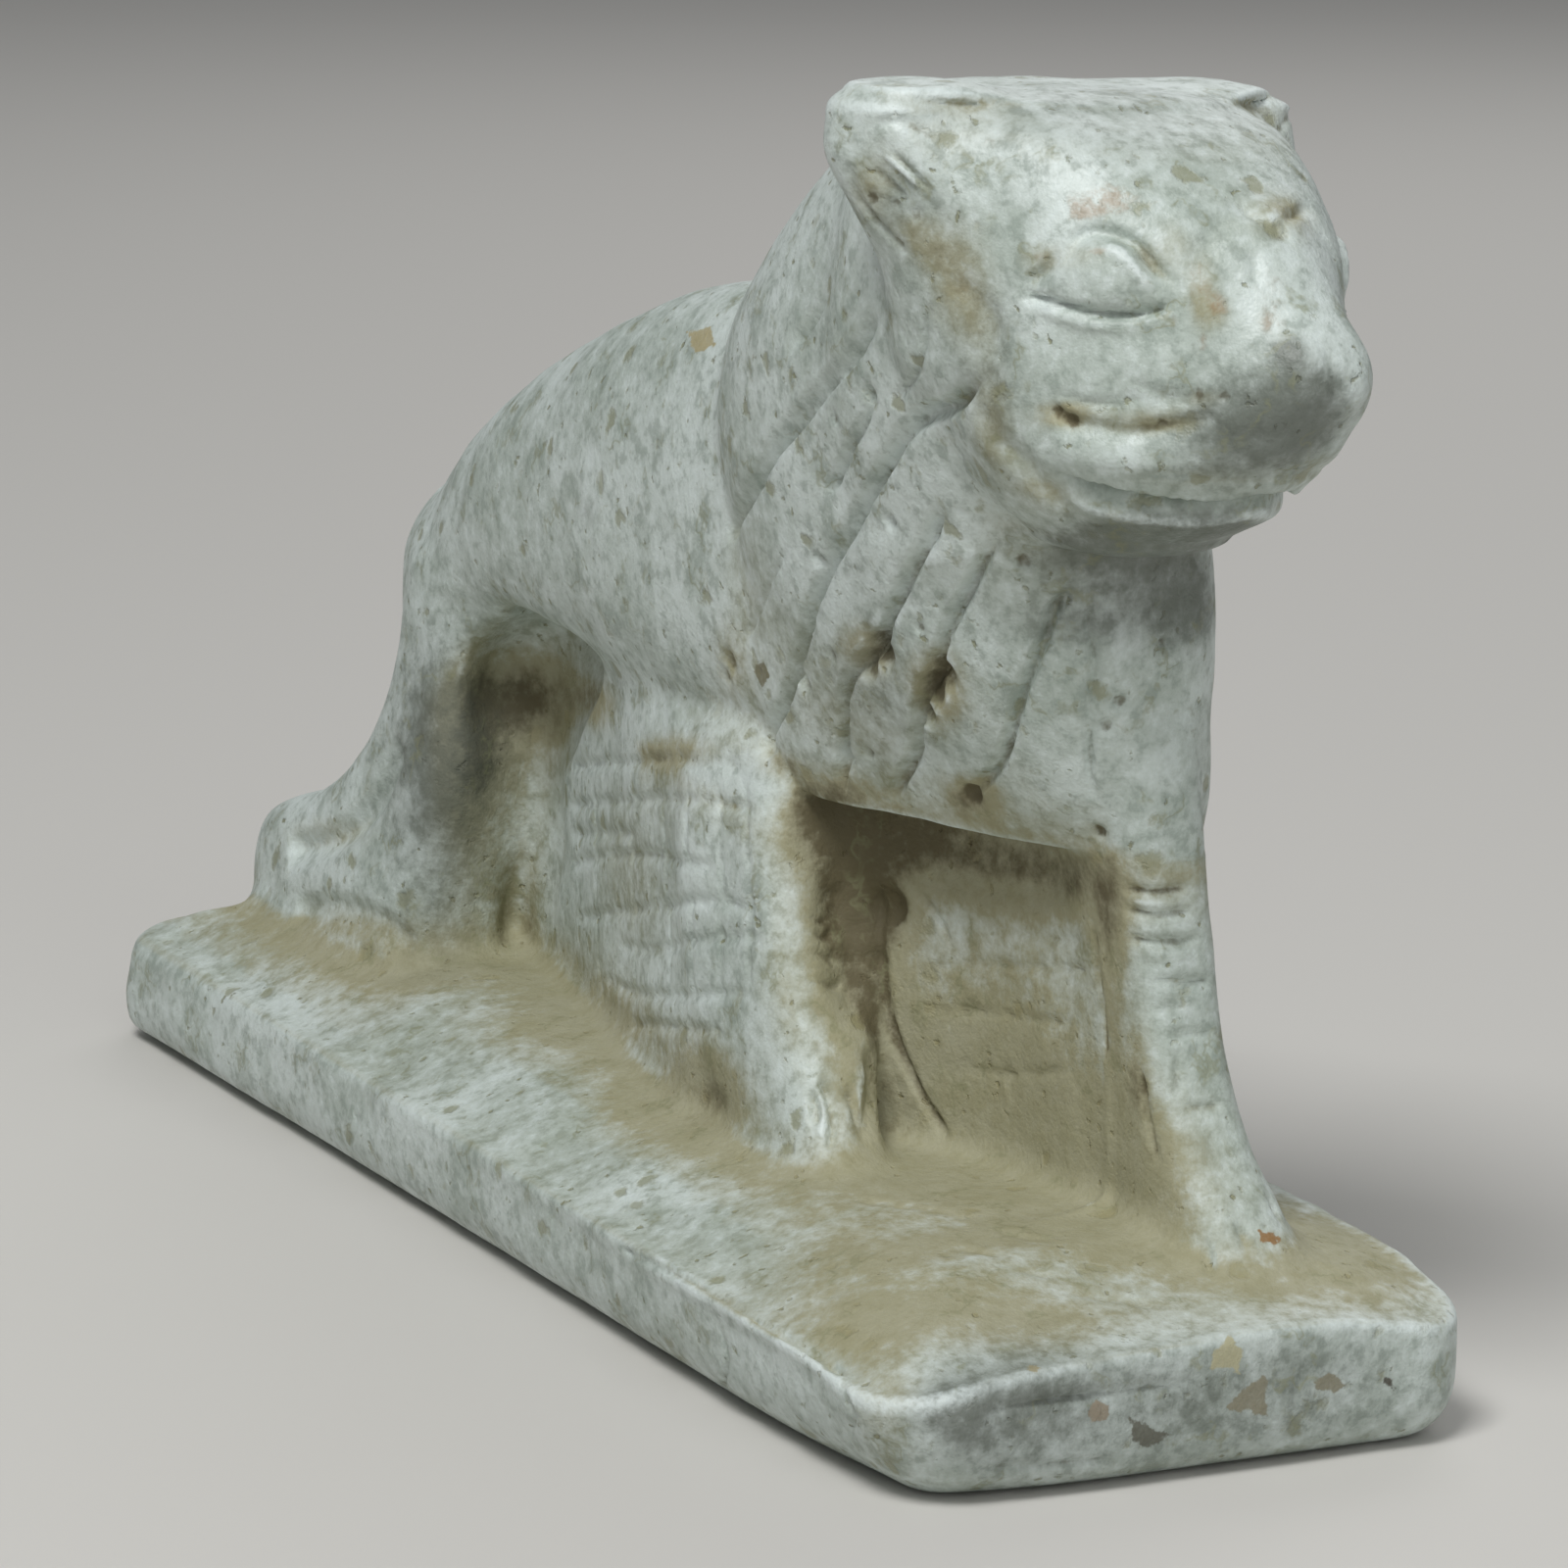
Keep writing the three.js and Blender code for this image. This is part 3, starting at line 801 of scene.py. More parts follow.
@dataclass
class Groove:
    """A line pressed into the skin, or raised from it where its depth is negative.

    width is on both sides of the line, and slack stretches it on the side to the right
    of the way the line runs, seen from outside. edge is 1 for a knife cut and 0 for a
    rounded one.
    """

    path: Array
    width: float
    depth: float
    slack: float = 1.0
    edge: float = 0.5
    fade: float = 2.0
    rough: float = 0.0
    tint: float = 1.0

    def nearest(self, points: Array) -> Tuple[Array, Array, Array, Array]:
        """Finds the nearest place on the line for each point.

        Args:
            points: places, one row each.

        Returns:
            Distance, way from the line to the point, tangent, and length run.
        """
        best = np.full(len(points), 1e9)
        away = np.zeros_like(points)
        tangent = np.zeros_like(points)
        run = np.zeros(len(points))
        done = 0.0
        for start, end in zip(self.path[:-1], self.path[1:]):
            way = end - start
            length = max(float(np.linalg.norm(way)), 1e-6)
            share = np.clip((points - start) @ way / length**2, 0, 1)
            gap = points - start - share[:, None] * way
            size = np.linalg.norm(gap, axis=1)
            closer = size < best
            best[closer] = size[closer]
            away[closer] = gap[closer]
            tangent[closer] = way / length
            run[closer] = done + share[closer] * length
            done += length
        return best, away, tangent, np.minimum(run, done - run)

    def press(self, points: Array, normals: Array, noise: Noise) -> Tuple[Array, Array]:
        """How far the line moves the skin, and how much dirt it holds.

        Args:
            points: places on the skin.
            normals: the skin's outward normals.
            noise: roughens the cut.

        Returns:
            Offset outward in mm, and dirt from 0 to 1.
        """
        reach = self.width * max(self.slack, 1.0) + 0.5
        offset = np.zeros(len(points))
        dirt = np.zeros(len(points))
        low, high = self.path.min(0) - reach, self.path.max(0) + reach
        near = np.flatnonzero(np.all((points > low) & (points < high), axis=1))
        if not len(near):
            return offset, dirt
        gap, away, tangent, run = self.nearest(points[near])
        side = np.einsum("ij,ij->i", np.cross(tangent, normals[near]), away)
        width = self.width * np.where(side > 0, self.slack, 1.0)
        t = np.clip(gap / width, 0, 1)
        shape = self.edge * (1 - t) + (1 - self.edge) * (1 - t) ** 2 * (1 + 2 * t)
        shape *= smoothstep(-0.2, self.fade, run)
        if self.rough:
            shape *= 1 + self.rough * noise(points[near], 1.3)
        offset[near] = -self.depth * shape
        dirt[near] = self.tint * smoothstep(0.15, 0.85, shape)
        return offset, dirt


@dataclass
class Swell:
    """A soft bump on the skin, or a dent where its height is negative."""

    centre: Array
    radius: float
    height: float
    flat: float = 1.0
    tint: float = 0.0

    def press(self, points: Array, normals: Array, noise: Noise) -> Tuple[Array, Array]:
        """How far the bump moves the skin, and how much dirt it holds.

        Args:
            points: places on the skin.
            normals: the skin's outward normals.
            noise: not used by a bump.

        Returns:
            Offset outward in mm, and dirt from 0 to 1.
        """
        local = (points - self.centre) / self.radius
        size = np.sum(local**2, axis=1) ** self.flat
        share = np.where(size < 9, np.exp(-size), 0)
        return self.height * share, self.tint * smoothstep(0.2, 0.8, share)


@dataclass(frozen=True)
class Outlook:
    """The photograph's viewpoint, in mm in the carver's frame."""

    turn: float = 65.78
    rise: float = 11.82
    roll: float = 0.07
    place: Point = (512.0, -224.35, 153.19)
    picture: float = 1600.0
    reach: float = 7026.0

    def axes(self) -> Tuple[Array, Array, Array]:
        """Directions of the picture.

        Returns:
            The way to the right, the way up and the way back to the eye.
        """
        a, e, r = (math.radians(v) for v in (self.turn, self.rise, self.roll))
        back = np.array([math.sin(a) * math.cos(e), -math.cos(a) * math.cos(e), math.sin(e)])
        level = np.array([math.cos(a), math.sin(a), 0.0])
        upright = np.cross(back, level)
        right = math.cos(r) * level + math.sin(r) * upright
        return right, math.cos(r) * upright - math.sin(r) * level, back

    def rays(self, pixels: Sequence[Pixel]) -> Array:
        """Directions from the eye through pixels of the photograph.

        Args:
            pixels: places in the picture, from its upper left corner.

        Returns:
            One unit vector for each.
        """
        right, upright, back = self.axes()
        x, y = (np.array(pixels, float) - self.picture / 2).T / self.reach
        ways = x[:, None] * right - y[:, None] * upright - back
        return ways / np.linalg.norm(ways, axis=1, keepdims=True)


class Sight:
    """Finds the place on the statue that a pixel of the photograph shows."""

    def __init__(self, beast: Beast, outlook: Outlook) -> None:
        """Keeps the form and the viewpoint.

        Args:
            beast: the form looked at.
            outlook: where it is looked at from.
        """
        self.beast = beast
        self.outlook = outlook

    def places(self, pixels: Sequence[Pixel]) -> Array:
        """Walks each line of sight up to the skin.

        Args:
            pixels: places in the picture.

        Returns:
            Places on the skin.
        """
        ways = self.outlook.rays(pixels)
        eye = np.array(self.outlook.place)
        run = np.full(len(ways), 440.0)
        best, gap = run.copy(), np.full(len(ways), 1e9)
        for _ in range(90):
            value = self.beast.distance(eye + ways * run[:, None])
            closer = value < gap
            best[closer], gap[closer] = run[closer], value[closer]
            run += np.where(value > 0.02, np.clip(value, 0.05, 6.0) * 0.7, 0.0)
        return self.beast.settle(eye + ways * best[:, None], 3)[0]


@dataclass(frozen=True)
class ColourPatch:
    """A soft patch of colour at a pixel of the photograph."""

    at: Pixel
    wide: float
    tall: float
    strength: float = 1.0


@dataclass(frozen=True)
class Cut:
    """One groove of the carving, or a ridge where its depth is negative.

    track holds pixels of the photograph, laid on the skin along the line of sight. It runs
    down or to the right, so the gentle side is on its left or below. far is the share of
    the depth that its fellow on the head's far side has. The rest is as in Groove.
    """

    track: Sequence[Pixel]
    width: float
    depth: float
    slack: float = 1.0
    edge: float = 0.5
    fade: float = 2.0
    rough: float = 0.0
    tint: float = 1.0
    far: float = 0.0

    def groove(self, path: Array, share: float = 1.0) -> Groove:
        """Makes the groove along a line of the skin.

        Args:
            path: the line's points.
            share: share of the depth.

        Returns:
            The groove.
        """
        depth = self.depth * share
        return Groove(path, self.width, depth, self.slack, self.edge, self.fade, self.rough, self.tint)

    def lay(self, sight: Sight) -> List[Groove]:
        """Lays the groove, and its fellow where it has one.

        Args:
            sight: finds the places of the photograph's pixels.

        Returns:
            One or two grooves.
        """
        path = sight.beast.line(sight.places(self.track))
        laid = [self.groove(path)]
        if self.far:
            across = sight.beast.settle(HEAD.mirrored(path), 4)[0]
            laid.append(self.groove(across[::-1], self.far))
        return laid


@dataclass(frozen=True)
class Bump:
    """One round bump at a pixel of the photograph, or a pit where its height is negative.

    far is the share of the height that its fellow on the head's far side has.
    """

    at: Pixel
    radius: float
    height: float
    flat: float = 1.0
    tint: float = 0.0
    far: float = 0.0

    def lay(self, sight: Sight) -> List[Swell]:
        """Lays the bump, and its fellow where it has one.

        Args:
            sight: finds the places of the photograph's pixels.

        Returns:
            One or two swells.
        """
        centre = sight.places([self.at])
        laid = [Swell(centre[0], self.radius, self.height, self.flat, self.tint)]
        if self.far:
            across = HEAD.mirrored(centre)[0]
            laid.append(Swell(across, self.radius, self.height * self.far, self.flat, self.tint))
        return laid


def lock(width: float, depth: float, slack: float, *track: Pixel) -> Cut:
    """One lock of the mane, with a crisp edge and long fading ends.

    Args:
        width: width of its steep side in mm.
        depth: its depth in mm.
        slack: how much wider its gentle side is.
        track: pixels that it runs through.

    Returns:
        The cut.
    """
    return Cut(track, width, depth, slack, edge=0.75, fade=3.0, rough=0.3)


def alike(tracks: Sequence[Sequence[Pixel]], width: float, depth: float, **more: float) -> Tuple[Cut, ...]:
    """Cuts that share all their measures.

    Args:
        tracks: pixels that each cut runs through.
        width: their width in mm.
        depth: their depth in mm.
        more: their other measures.

    Returns:
        The cuts.
    """
    return tuple(Cut(track, width, depth, **more) for track in tracks)


class Carving:
    """Every line and bump of the fine carving."""

    LOCKS = (
        lock(0.45, 0.7, 3.2, (846, 292), (823, 337), (801, 363)),
        lock(0.5, 1.1, 3.6, (898, 318), (883, 349), (864, 375), (842, 401), (812, 438), (793, 460),
             (771, 502), (742, 554)),
        lock(0.4, 0.8, 2.6, (890, 392), (887, 423), (868, 460), (849, 498), (838, 508)),
        lock(0.3, 0.4, 2.0, (950, 300), (946, 322), (939, 371), (924, 397), (902, 412)),
        lock(0.5, 1.3, 3.0, (1000, 388), (976, 416), (939, 434), (924, 449), (913, 468), (887, 513),
             (868, 546), (849, 576), (834, 610), (823, 651), (812, 681), (801, 722), (790, 755), (782, 784)),
        lock(0.45, 1.1, 2.8, (965, 518), (946, 558), (931, 587), (913, 625), (903, 651), (890, 669),
             (872, 690), (864, 718), (864, 748), (861, 812)),
        lock(0.45, 1.1, 2.6, (1021, 549), (999, 587), (980, 621), (965, 655), (956, 687), (944, 703),
             (939, 737), (937, 765), (924, 793), (909, 818)),
        lock(0.4, 1.0, 2.6, (1100, 594), (1077, 625), (1066, 658), (1051, 692), (1036, 737), (1025, 774),
             (1014, 792), (991, 812)),
        lock(0.35, 0.6, 2.0, (1111, 608), (1114, 647), (1118, 677), (1116, 711), (1114, 755), (1114, 797),
             (1124, 822)),
        lock(0.3, 0.3, 2.0, (1098, 792), (1110, 806), (1124, 820)),
        lock(0.3, 0.35, 2.5, (806, 558), (780, 610), (756, 660)),
    )
    FAR_LOCKS = 6
    FAR_LOCK_SHIFT = 2.6
    PITS = tuple(Bump((x, y), radius, -depth, flat=1.6, tint=1.4) for x, y, radius, depth in (
        (897, 663, 1.5, 1.5), (885, 680, 1.1, 1.0), (958, 688, 1.4, 1.5), (948, 706, 1.2, 1.4),
        (943, 728, 1.0, 1.0), (887, 403, 0.7, 0.9), (745, 675, 1.0, 0.7), (740, 690, 0.7, 0.5),
        (991, 811, 0.9, 0.8), (833, 572, 0.6, 0.6), (909, 531, 0.7, 0.6), (849, 668, 0.6, 0.4),
        (887, 767, 0.5, 0.5), (862, 770, 0.9, 0.9), (818, 697, 0.9, 0.9), (1044, 573, 0.7, 0.4),
        (1144, 716, 0.7, 0.5), (1130, 742, 0.7, 0.5), (1122, 849, 0.6, 0.5), (851, 427, 0.6, 0.4),
        (1078, 419, 0.5, 0.3), (1093, 431, 0.6, 0.3), (1184, 430, 0.4, 0.25), (1250, 404, 0.5, 0.3),
        (908, 925, 1.6, 0.8), (1188, 655, 0.5, 0.4), (886, 205, 0.6, 0.25), (925, 226, 0.6, 0.25),
        (906, 215, 0.5, 0.25), (1222, 400, 0.4, 0.3), (939, 640, 0.5, 0.35),
    ))
    COMBED = (
        *(Cut([(709 + y / 2, y), (749 + y / 2, y + 9), (801 + y / 2, y + 16)], 0.3, 0.09, edge=0.4, tint=0.2)
          for y in range(518, 652, 9)),
        *(Cut([(1115 - 0.12 * y, y), (1141 - 0.12 * y, y + 3)], 0.3, 0.08, edge=0.4, tint=0.2)
          for y in range(625, 745, 14)),
    )
    FACE = {
        "eyeball": Bump((1112, 286), 3.2, 0.55, flat=1.3, far=0.5),
        "front of the eyeball": Bump((1140, 272), 2.4, 0.4, flat=1.3, far=0.5),
        "edge of the eyeball's front": Cut(
            [(1126, 244), (1146, 258), (1166, 282), (1180, 304)],
            1.0, -0.35, edge=0.8, fade=1.0, tint=0.0, far=0.7),
        "lower lid": Cut(
            [(1034, 300), (1056, 303), (1084, 310), (1118, 318), (1150, 321), (1180, 316), (1202, 306)],
            0.4, 1.05, slack=1.7, edge=0.85, tint=0.8, far=0.7),
        "rim of the lower lid": Cut(
            [(1052, 311), (1082, 321), (1112, 330), (1140, 332), (1172, 327), (1200, 316)],
            0.8, -0.35, edge=0.1, tint=0.0, far=0.7),
        "upper lid": Cut(
            [(1032, 296), (1052, 284), (1078, 264), (1094, 246), (1112, 236), (1140, 238), (1164, 252),
             (1184, 276), (1206, 300)],
            0.7, 0.7, slack=1.8, edge=0.6, rough=0.7, tint=0.6, far=0.7),
        "brow": Cut(
            [(1210, 280), (1226, 262), (1240, 236), (1262, 216), (1290, 206)],
            1.4, 0.3, edge=0.2, tint=0.2, far=0.7),
        "crease over the lip": Cut(
            [(1070, 414), (1088, 426), (1115, 434), (1149, 439), (1178, 436), (1211, 430), (1248, 424)],
            0.7, 0.6, slack=1.8, rough=0.5, tint=0.55, far=0.7),
        "upper crease": Cut(
            [(1070, 402), (1098, 408), (1130, 412), (1160, 408), (1196, 412), (1232, 404)],
            0.5, 0.3, rough=0.8, tint=0.5, far=0.7),
        "fold of the cheek": Cut(
            [(1150, 386), (1170, 398), (1188, 404), (1216, 400)],
            0.6, 0.3, edge=0.4, rough=0.5, tint=0.3, far=0.7),
        "cheek": Bump((1182, 372), 2.0, 0.4, far=0.6),
        "upper lip": Cut(
            [(1068, 452), (1100, 462), (1150, 470), (1210, 472), (1280, 466), (1330, 452)],
            2.2, -0.5, edge=0.0, tint=0.0, far=0.7),
        "tip of the nose": Bump((1384, 402), 1.8, 0.5),
        "side of the nose": Cut(
            [(1352, 346), (1358, 370), (1362, 396), (1360, 420)], 0.6, 0.35, edge=0.4, tint=0.4),
        "chip between the brows": Cut(
            [(1250, 196), (1277, 214), (1298, 232), (1322, 216), (1340, 212)],
            0.8, 0.5, edge=0.4, rough=0.7, tint=0.6),
        "chip below it": Cut(
            [(1296, 246), (1312, 241), (1320, 254)], 0.6, 0.4, edge=0.4, fade=1.0, rough=0.7),
        "crack down the bridge": Cut(
            [(1277, 252), (1282, 275), (1278, 294)], 0.6, 0.35, edge=0.4, fade=1.0, rough=0.7, tint=0.4),
    }
    MOUTH = [
        (1062, 474), (1080, 484), (1103, 494), (1134, 502), (1172, 510), (1211, 515), (1250, 516),
        (1276, 510),
    ]
    LIPS = (
        Cut(MOUTH, 0.5, 1.4, slack=4.2, edge=0.8, fade=5.0, tint=0.6),
        Cut(MOUTH, 0.3, 0.5, slack=1.5, edge=0.8, fade=5.0, tint=0.6),
    )
    JAW = Cut(
        [(960, 282), (990, 300), (1008, 330), (1008, 370), (1002, 408), (1010, 439), (1033, 462), (1057, 485),
         (1080, 509), (1106, 534)],
        1.8, 0.45, edge=0.1, rough=0.6, tint=0.25, far=0.7)
    EARS = (
        *(Bump((x, y), radius, -depth, tint=0.2, far=1.0) for x, y, radius, depth in (
            (888, 158, 3.0, 0.6), (912, 185, 3.6, 0.9), (940, 215, 3.2, 0.8), (968, 245, 2.4, 0.5))),
        Cut(
            [(880, 130), (902, 123), (920, 121), (942, 130), (968, 148)],
            0.6, 0.4, edge=0.6, rough=0.4, far=0.7),
        Cut([(889, 160), (910, 178), (932, 198)], 0.7, -0.4, edge=0.3, fade=1.0, tint=0.0, far=0.7),
        Cut([(880, 176), (897, 196), (916, 214)], 0.6, 0.4, fade=1.0, far=0.7),
        Cut([(905, 156), (930, 178), (952, 200)], 0.6, 0.4, fade=1.0, far=0.7),
        Cut(
            [(862, 165), (874, 200), (898, 232), (925, 258)],
            0.6, 0.35, edge=0.4, fade=1.0, rough=0.6, far=0.7),
    )
    RINGS = tuple(Cut(track, 0.55, depth, slack=1.4, fade=1.0, rough=0.3) for depth, track in (
        (0.6, [(1146, 905), (1180, 910), (1214, 905)]), (0.65, [(1146, 925), (1180, 934), (1216, 929)]),
        (0.6, [(1150, 956), (1184, 962), (1222, 958)]), (0.45, [(1174, 998), (1205, 1002), (1236, 999)]),
        (0.4, [(1190, 1053), (1215, 1055), (1242, 1053)]), (0.3, [(1204, 1130), (1228, 1130), (1250, 1126)]),
        (0.3, [(1160, 982), (1190, 984)]), (0.2, [(1170, 1028), (1206, 1028)]),
        (0.25, [(1196, 1016), (1198, 1044)]), (0.25, [(1202, 1068), (1205, 1124)]),
    ))
    NICKS = alike((
        [(824, 934), (838, 940), (854, 934)], [(826, 950), (842, 957), (860, 948)],
        [(828, 970), (846, 977), (866, 968)], [(832, 1000), (852, 1006), (872, 996)],
    ), 0.6, 0.3, edge=0.4, fade=1.0, rough=0.5, tint=0.6)
    NEAR_TOES = alike((
        [(838, 1100), (847, 1122), (850, 1150), (846, 1176)], [(864, 1108), (873, 1126), (877, 1148)],
        [(826, 1112), (832, 1130), (830, 1152)],
    ), 0.6, 0.75, fade=1.0)
    FAR_TOES = alike((
        [(1226, 1262), (1232, 1284), (1234, 1306)], [(1262, 1240), (1270, 1262), (1274, 1284)],
        [(1292, 1214), (1302, 1232), (1308, 1250)],
    ), 0.7, 0.4, edge=0.3, fade=1.5, rough=0.5, tint=0.4)
    LIMBS = {
        "hock": Cut(
            [(292, 866), (340, 852), (384, 812), (408, 752)], 2.0, 1.3, slack=1.4, edge=0.1, tint=0.4),
        "rear foot": Cut(
            [(300, 926), (350, 926), (396, 944), (428, 972)], 1.8, 0.7, slack=1.4, edge=0.1, tint=0.4),
        "recess behind the near foreleg": Cut(
            [(858, 850), (862, 900), (868, 960), (880, 1020), (896, 1070)],
            3.6, 1.5, edge=0.0, fade=6.0, rough=0.2, tint=0.3),
        "heel of the near foreleg": Cut(
            [(884, 1062), (893, 1096), (890, 1136), (876, 1172)], 1.8, 0.7, edge=0.1, tint=0.2),
        "seam down the recess": Cut(
            [(896, 905), (899, 960), (903, 1005), (911, 1050), (924, 1082), (942, 1118), (968, 1164)],
            0.5, 0.7, slack=1.6, edge=0.6, rough=0.4, tint=0.9),
        "cleft by the left foreleg": Cut(
            [(1162, 1086), (1166, 1120), (1172, 1156), (1182, 1190)], 0.5, 0.6, edge=0.6, rough=0.4),
    }
    NEAR_WEB = (
        *alike((
            [(584, 782), (640, 778), (700, 776), (760, 784)], [(580, 822), (640, 817), (700, 817),
             (774, 826)],
            [(582, 852), (620, 850), (650, 852)], [(580, 882), (640, 872), (700, 880), (730, 884)],
            [(588, 938), (630, 930), (668, 926), (728, 920), (776, 930)],
            [(630, 966), (660, 970), (740, 956), (782, 956)], [(616, 1000), (650, 1014), (700, 1016),
             (768, 1012)],
            [(640, 1046), (690, 1048), (740, 1052)],
        ), 0.8, 0.34, edge=0.3, rough=0.6, tint=0.35),
        *(Cut([(x, 790), (x + 2, 870), (x + 4, 980), (x + 6, 1030)], 0.6, 0.22, edge=0.2, rough=0.9, tint=0.4)
          for x in (606, 640, 676, 700, 732, 760)),
    )
    FRONT_WEB = (
        *alike((
            [(962, 940), (1010, 944), (1060, 956), (1106, 962)], [(940, 988), (1000, 984), (1060, 988),
             (1110, 990)],
            [(944, 1030), (1000, 1032), (1060, 1040), (1106, 1046)], [(960, 1090), (1030, 1096),
             (1100, 1092)],
            [(930, 905), (955, 930), (974, 972)],
        ), 0.5, 0.3, edge=0.4, rough=0.9, tint=0.5),
        Cut([(1116, 940), (1120, 985), (1124, 1030), (1128, 1090)], 0.6, 0.4, edge=0.4, rough=0.4),
    )
    CRACKS = tuple(Cut(track, 0.35, depth, slack=1.8, edge=0.6, rough=0.6) for depth, track in (
        (0.5, [(632, 1272), (680, 1296), (730, 1318), (780, 1350), (830, 1378), (866, 1404)]),
        (0.35, [(735, 1352), (742, 1390), (738, 1420)]), (0.4, [(862, 1404), (870, 1440), (868, 1470)]),
        (0.45, [(998, 1441), (1040, 1434), (1082, 1428), (1150, 1420), (1231, 1405)]),
        (0.35, [(994, 1499), (1060, 1494), (1140, 1487)]), (0.3, [(1330, 1380), (1326, 1420), (1318, 1456)]),
        (0.3, [(360, 1120), (362, 1150), (356, 1172)]), (0.3, [(560, 1222), (566, 1262)]),
    ))
    HACKS = alike(tuple(
        [(x - 30, y - 8), (x + 40, y + 4)]
        for x, y in ((1000, 1280), (1060, 1300), (1110, 1322), (960, 1240), (900, 1230), (1040, 1262),
        (1160, 1330))
    ), 1.0, 0.22, edge=0.1, rough=0.6, tint=0.1)

    def __init__(self, sight: Sight) -> None:
        """Lays out the carving.

        Args:
            sight: finds the places of the photograph's pixels.
        """
        self.sight = sight
        self.rough = Noise(3)
        self.waves = Noise(11)
        self.marks: List[Groove | Swell] = []
        self._mane()
        self._lay(*self.PITS, *self.COMBED, *self.FACE.values())
        self._mouth()
        self._lay(self.JAW, *self.EARS, *self.RINGS, *self.NICKS, *self.NEAR_TOES, *self.FAR_TOES)
        self._lay(*self.LIMBS.values(), *self.NEAR_WEB, *self.FRONT_WEB, *self.CRACKS, *self.HACKS)

    def _lay(self, *marks: Cut | Bump) -> None:
        """Lays cuts and bumps on the skin.

        Args:
            marks: what to lay.
        """
        for mark in marks:
            self.marks.extend(mark.lay(self.sight))

    def _mane(self) -> None:
        """Cuts the long locks of the mane, the first of them on the far side too."""
        for index, cut in enumerate(self.LOCKS):
            grooves = cut.lay(self.sight)
            self.marks.extend(grooves)
            if index < self.FAR_LOCKS:
                across = grooves[0].path * (1, -1, 1) + (0, self.FAR_LOCK_SHIFT, 0)
                across = self.sight.beast.settle(across, 6)[0]
                self.marks.append(cut.groove(across[::-1]))

    def _mouth(self) -> None:
        """Cuts the mouth from its near corner, round the chin's front, to its far corner."""
        near = HEAD.inward(self.sight.places(self.MOUTH))
        far = (near * (1, -1, 1))[::-1]
        gap = np.linalg.norm(far[0] - near[-1])
        across = np.vstack([near, far[1:] if gap < 2 else far])
        path = self.sight.beast.line(HEAD.outward(across))
        self.marks.extend(lip.groove(path) for lip in self.LIPS)

    def press(self, points: Array, normals: Array) -> Tuple[Array, Array]:
        """Works out the whole relief at points of the skin.

        Args:
            points: places on the skin.
            normals: the skin's outward normals.

        Returns:
            Offset outward in mm, and carved dirt from 0 to 1.
        """
        offset = np.zeros(len(points))
        dirt = np.zeros(len(points))
        for mark in self.marks:
            move, grime = mark.press(points, normals, self.rough)
            offset += move
            dirt = np.maximum(dirt, grime)
        calm = smoothstep(0.2, 3.0, points[:, 2])
        offset += calm * 0.24 * self.waves(points, 9.0)
        offset += calm * 0.11 * self.waves(points + 40, 3.4)
        return offset, dirt


def colour_patches(*rows: Tuple[float, ...]) -> Tuple[ColourPatch, ...]:
    """Writes colour patches out of short rows.

    Args:
        rows: a pixel across and down, half the width and the height in mm, and the strength.

    Returns:
        The patches.
    """
    return tuple(ColourPatch((x, y), wide, tall, strength) for x, y, wide, tall, strength in rows)


@dataclass(frozen=True)
class Clast:
    """A fragment of other stone that shows in the skin, by its corners in the photograph."""

    corners: Sequence[Pixel]
    colour: Colour


